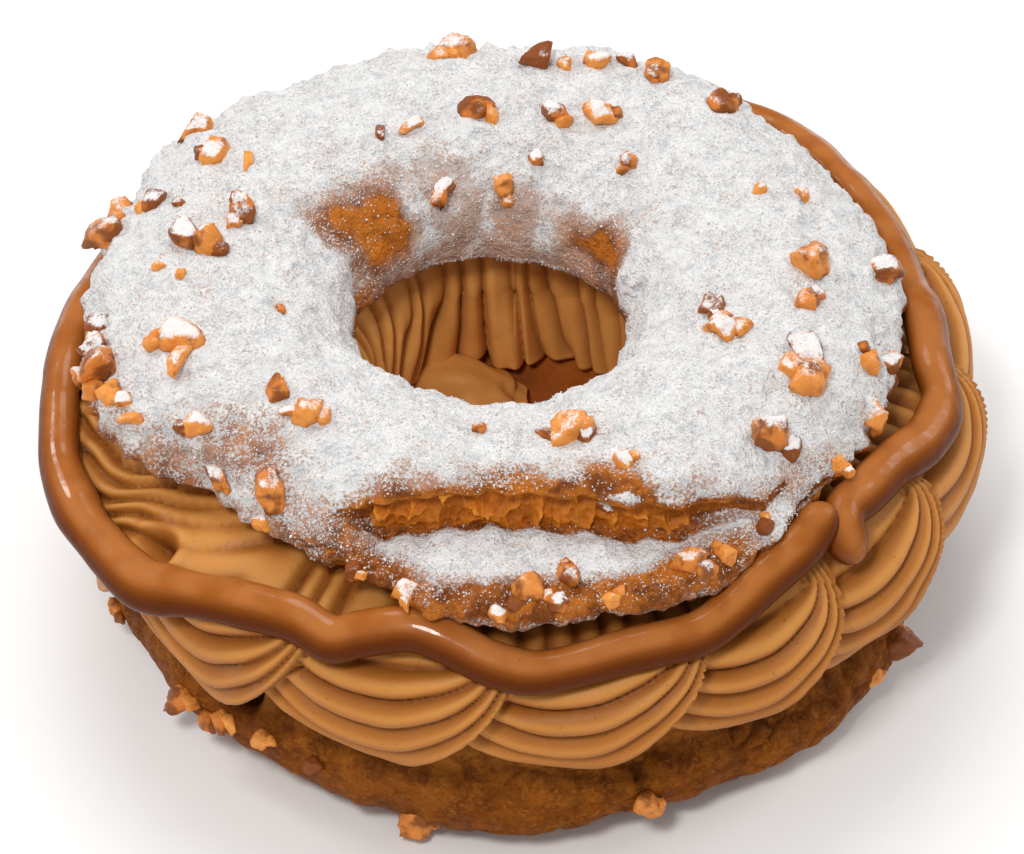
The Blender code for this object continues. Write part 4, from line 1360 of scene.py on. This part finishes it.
def paint(name, description, default):
    """Colour that a user may change."""
    return FloatVectorProperty(
        name=name, description=description, default=default, size=3, subtype="COLOR", min=0.0,
        max=1.0,
    )


class PastryBaseSizes(bpy.types.PropertyGroup):
    """Sizes of the lower half of the ring."""

    radius: metres("Radius", "Widest radius of the base", 56.6 * MM)
    foot_radius: metres("Foot radius", "Outer radius of the flat foot", 43.5 * MM)
    height: metres("Height", "Height of the level cut", 17.0 * MM)
    widest: metres("Widest height", "Height at which the side stands out furthest", 8.2 * MM)


class PastryCreamSizes(bpy.types.PropertyGroup):
    """Sizes of the piped cream."""

    mid_radius: metres("Middle radius", "Radius of the middle of the cream's section", 41.0 * MM)
    half_width: metres("Half width", "Half the width of the cream's section", 21.9 * MM)
    mid_height: metres("Middle height", "Height of the middle of the section", 29.0 * MM)
    half_height: metres("Half height", "Half the height of the section", 12.6 * MM)
    ridge_depth: metres("Ridge depth", "Depth of the grooves between ridges", 2.3 * MM)
    swag_step: metres("Swag step", "How far each swag stands out over the next", 2.8 * MM)
    foot_square: FloatProperty(
        name="Foot squareness", description="1 gives a round foot, less a square one",
        default=0.55, min=0.2, max=1.0,
    )
    wall_ridges: IntProperty(
        name="Wall ridges", description="Piped columns round the hole", default=40, min=8,
    )
    top_ridges: IntProperty(
        name="Top ridges", description="Ridges between the ribbon and the lid", default=92, min=8,
    )


class PastryRibbonSizes(bpy.types.PropertyGroup):
    """Sizes of the caramel ribbon."""

    path_radius: metres("Path radius", "Radius of the ribbon's middle line", 58.0 * MM)
    path_height: metres("Path height", "Height of the ribbon's middle line", 38.9 * MM)
    ribbon_width: metres("Width", "Width of the ribbon", 6.2 * MM)
    ribbon_thickness: metres("Thickness", "Thickness of the ribbon", 4.6 * MM)


class PastryLidSizes(bpy.types.PropertyGroup):
    """Sizes of the upper half of the ring."""

    radius: metres("Radius", "Radius of the lid's rim", 53.0 * MM)
    hole_radius: metres("Hole radius", "Radius of the hole through the lid", 18.4 * MM)
    crown_radius: metres("Crown radius", "Radius at which the lid is highest", 36.0 * MM)
    crown_height: metres("Crown height", "Height of the top of the lid", 53.8 * MM)
    rim_height: metres("Rim height", "Height of the rim's widest line", 44.2 * MM)
    underside: metres("Underside", "Height of the underside", 42.8 * MM)
    lip_height: metres("Lip height", "Lowest height of the lip round the hole", 39.9 * MM)
    tear_distance: metres("Tear distance", "Distance of the straight tear from the middle", 41.0 * MM)
    tear_drop: metres("Tear drop", "How far the ledge lies below the torn edge", 6.4 * MM)


class PastryToppingSizes(bpy.types.PropertyGroup):
    """Sizes of the nuts and the sugar."""

    nut_scale: FloatProperty(
        name="Nut scale", description="Size of the nuts against the usual", default=1.0, min=0.1,
    )
    grain_count: IntProperty(
        name="Sugar grains", description="Clumps and grains of sugar", default=9800, min=100,
    )


class PastryColours(bpy.types.PropertyGroup):
    """Colours of the pastry and of the table."""

    dark: paint("Dark crust", "Darkest brown of the base", (0.130, 0.030, 0.003))
    middle: paint("Brown crust", "Main brown of the base", (0.270, 0.072, 0.005))
    light: paint("Light crust", "Golden streaks of the base", (0.440, 0.160, 0.018))
    crust_red: paint("Crust in the hole", "Moist crust on the floor of the hole", (0.400, 0.100, 0.016))
    # Painted shade inside the cracks.
    crust_crack_shade: paint("Crust pit", "Brown inside the cracks", (0.045, 0.010, 0.002))
    cream: paint("Cream", "Praline cream", (0.500, 0.185, 0.032))
    # Painted light: the cream where it is lit, round the hole and on crests.
    cream_painted_light: paint("Pale cream", "Cream lit through, round the hole", (0.900, 0.440, 0.120))
    cream_warm: paint("Warm cream", "Cream with more praline", (0.450, 0.150, 0.020))
    # Painted shade deep in the folds of the cream.
    cream_painted_shade: paint("Cream fold", "Cream deep between ridges", (0.170, 0.040, 0.004))
    speck: paint("Speck", "Ground nut skin", (0.100, 0.030, 0.006))
    # The ribbon's colours: painted light on its top and in clouds there, painted shade on its
    # underside.
    caramel: paint("Caramel", "Top of the ribbon", (0.350, 0.100, 0.014))
    caramel_painted_shade: paint("Low caramel", "Underside of the ribbon", (0.105, 0.021, 0.002))
    caramel_painted_light: paint("Pale caramel", "Paler clouds in the ribbon", (0.500, 0.180, 0.048))
    sugar: paint("Sugar", "Thick icing sugar", (0.870, 0.868, 0.866))
    sugar_shade: paint("Shaded sugar", "Hollows in the sugar", (0.560, 0.562, 0.580))
    fleck: paint("Fleck", "Crumbs of crust in the sugar", (0.250, 0.170, 0.130))
    sugar_thin: paint("Thin sugar", "Sugar through which the crust shows", (0.610, 0.460, 0.385))
    lid_dark: paint("Dark lid crust", "Darkest brown of the lid", (0.200, 0.052, 0.010))
    lid_brown: paint("Lid crust", "Main brown of the lid", (0.420, 0.125, 0.022))
    lid_amber: paint("Amber lid crust", "Orange brown of the lid", (0.680, 0.210, 0.020))
    crumb: paint("Crumb", "Torn crumb", (0.660, 0.200, 0.014))
    # Painted shade inside the pockets, also used for darker grain.
    crumb_grain_and_shade: paint("Deep crumb", "Inside the pockets", (0.250, 0.050, 0.002))
    crumb_wall: paint("Crumb wall", "Thin walls of the crumb", (0.880, 0.365, 0.052))
    nut_brown: paint("Brown nut", "Nut skin", (0.165, 0.036, 0.005))
    nut_pale: paint("Pale nut", "Cut nut", (0.950, 0.385, 0.080))
    nut_amber: paint("Amber nut", "Burnt sugar on nut", (0.640, 0.170, 0.018))
    floor: paint("Table", "Table top", (0.970, 0.970, 0.970))


GROUPS = {
    "pastry_base": PastryBaseSizes,
    "pastry_cream": PastryCreamSizes,
    "pastry_ribbon": PastryRibbonSizes,
    "pastry_lid": PastryLidSizes,
    "pastry_topping": PastryToppingSizes,
    "pastry_colours": PastryColours,
}
shared = {}


# ------------------------------------------------------------------ operators
class PASTRY_OT_base(bpy.types.Operator):
    """Make the baked lower half of the ring"""

    bl_idname = "pastry.base"
    bl_label = "Choux base"

    def execute(self, context):
        make_base(context.scene.pastry_base, context.scene.pastry_colours)
        return {"FINISHED"}


class PASTRY_OT_cream(bpy.types.Operator):
    """Make the piped praline cream"""

    bl_idname = "pastry.cream"
    bl_label = "Praline cream"

    def execute(self, context):
        scene = context.scene
        make_cream_swags(scene.pastry_cream, scene.pastry_ribbon, scene.pastry_colours)
        make_cream_wall(scene.pastry_cream)
        return {"FINISHED"}


class PASTRY_OT_ribbon(bpy.types.Operator):
    """Make the caramel ribbon on the shoulder of the cream"""

    bl_idname = "pastry.ribbon"
    bl_label = "Caramel ribbon"

    def execute(self, context):
        make_ribbon(context.scene.pastry_ribbon, context.scene.pastry_colours)
        return {"FINISHED"}


class PASTRY_OT_lid(bpy.types.Operator):
    """Make the sugared lid and the crumb in its tear"""

    bl_idname = "pastry.lid"
    bl_label = "Choux lid"

    def execute(self, context):
        scene = context.scene
        shared["lid"] = make_lid(scene.pastry_lid, scene.pastry_colours)
        make_crumb(scene.pastry_lid, scene.pastry_colours)
        return {"FINISHED"}


class PASTRY_OT_toppings(bpy.types.Operator):
    """Set the nuts and the loose sugar on the pastry"""

    bl_idname = "pastry.toppings"
    bl_label = "Nuts and sugar"

    def execute(self, context):
        if "lid" not in shared:
            raise RuntimeError("the lid is made before its toppings")
        scene = context.scene
        grid, normal, cover = shared["lid"]
        make_nuts(scene.pastry_topping, scene.pastry_base, grid, scene.pastry_colours)
        make_sugar(scene.pastry_topping, grid, normal, cover, scene.pastry_colours)
        return {"FINISHED"}


class PASTRY_OT_stage(bpy.types.Operator):
    """Set the table, the soft light and the camera"""

    bl_idname = "pastry.stage"
    bl_label = "Table, light and camera"

    def execute(self, context):
        scene = context.scene
        colours = scene.pastry_colours
        signs = ((-1, -1), (1, -1), (1, 1), (-1, 1))
        square = [(x * TABLE_REACH, y * TABLE_REACH, 0) for x, y in signs]
        mesh = bpy.data.meshes.new("table")
        mesh.from_pydata(square, [], [(0, 1, 2, 3)])
        mesh.materials.append(floor_look(colours))
        table = bpy.data.objects.new("table", mesh)
        scene.collection.objects.link(table)
        for name, place, size, power, tint in LIGHTS:
            light = bpy.data.lights.new(name, "AREA")
            light.shape = "DISK"
            light.size = size
            light.energy = power
            light.color = tint
            lamp = bpy.data.objects.new(name, light)
            lamp.location = place
            ahead = Vector((0.0, 0.0, AIM_HEIGHT)) - Vector(place)
            lamp.rotation_euler = ahead.to_track_quat("-Z", "Y").to_euler()
            scene.collection.objects.link(lamp)
        world = bpy.data.worlds.new("soft_room")
        world.use_nodes = True
        back = world.node_tree.nodes["Background"]
        back.inputs["Color"].default_value = (1.0, 1.0, 1.0, 1.0)
        ray = world.node_tree.nodes.new("ShaderNodeLightPath")
        dimmed = world.node_tree.nodes.new("ShaderNodeMapRange")
        dimmed.inputs["To Min"].default_value = ROOM_LIGHT
        dimmed.inputs["To Max"].default_value = ROOM_GLOSS
        world.node_tree.links.new(ray.outputs["Is Glossy Ray"], dimmed.inputs["Value"])
        world.node_tree.links.new(dimmed.outputs["Result"], back.inputs["Strength"])
        scene.world = world
        scene.view_settings.view_transform = "Standard"
        data = bpy.data.cameras.new("camera")
        data.sensor_width = 36.0
        data.lens = CAMERA_LENS
        data.shift_y = CAMERA_SHIFT
        data.clip_end = 10.0
        camera = bpy.data.objects.new("camera", data)
        back_off = CAMERA_DISTANCE * math.cos(CAMERA_ELEVATION)
        up = CAMERA_DISTANCE * math.sin(CAMERA_ELEVATION)
        camera.location = (0.0, -back_off, AIM_HEIGHT + up)
        camera.rotation_euler = (0.5 * math.pi - CAMERA_ELEVATION, 0.0, 0.0)
        scene.collection.objects.link(camera)
        scene.camera = camera
        return {"FINISHED"}


# Half the side of the table top, and the height over its middle that lights and camera face.
TABLE_REACH, AIM_HEIGHT = 1.5, 0.03
# Name, place, diameter, power and tint of each light.
LIGHTS = (
    ("overhead_light", (-0.10, 0.30, 0.80), 0.50, 2.2, (1.0, 0.99, 0.98)),
    ("left_light", (-0.80, 0.45, 0.55), 0.25, 2.2, (1.0, 0.99, 0.98)),
    ("right_light", (0.80, 0.40, 0.50), 0.50, 2.2, (1.0, 0.99, 0.97)),
    ("front_light", (-0.15, -0.42, 0.66), 0.15, 2.3, (1.0, 0.99, 0.97)),
)
# Strength of the light of the room, and how strongly it shows in glossy surfaces.
ROOM_LIGHT, ROOM_GLOSS = 0.52, 0.20
# The camera: how far it stands from what it faces, how steeply it looks down, its focal length
# in millimetres, and how far its picture is shifted, as a share of its width.
CAMERA_DISTANCE, CAMERA_ELEVATION = 0.56, math.radians(43.3)
CAMERA_LENS, CAMERA_SHIFT = 147.85, -0.0405


class PASTRY_PT_panel(bpy.types.Panel):
    """Lists the sizes, the colours and the pieces of the pastry"""

    bl_idname = "PASTRY_PT_panel"
    bl_label = "Filled choux ring"
    bl_space_type = "VIEW_3D"
    bl_region_type = "UI"
    bl_category = "Pastry"

    def draw(self, context):
        for made in OPERATORS:
            self.layout.operator(made.bl_idname)
        for group, kind in GROUPS.items():
            box = self.layout.box()
            box.label(text=kind.__doc__)
            for name in kind.__annotations__:
                box.prop(getattr(context.scene, group), name)


OPERATORS = (
    PASTRY_OT_base, PASTRY_OT_cream, PASTRY_OT_ribbon, PASTRY_OT_lid, PASTRY_OT_toppings,
    PASTRY_OT_stage,
)


def register():
    """Registers the sizes, the operators and the panel."""
    for name, kind in GROUPS.items():
        bpy.utils.register_class(kind)
        setattr(bpy.types.Scene, name, PointerProperty(type=kind))
    for kind in OPERATORS + (PASTRY_PT_panel,):
        bpy.utils.register_class(kind)


def unregister():
    """Takes back what register added."""
    for kind in (PASTRY_PT_panel,) + OPERATORS[::-1]:
        bpy.utils.unregister_class(kind)
    for name, kind in GROUPS.items():
        delattr(bpy.types.Scene, name)
        bpy.utils.unregister_class(kind)


def main():
    """Makes every piece in order."""
    register()
    for made in OPERATORS:
        group, action = made.bl_idname.split(".")
        getattr(getattr(bpy.ops, group), action)()


if __name__ == "__main__":
    main()
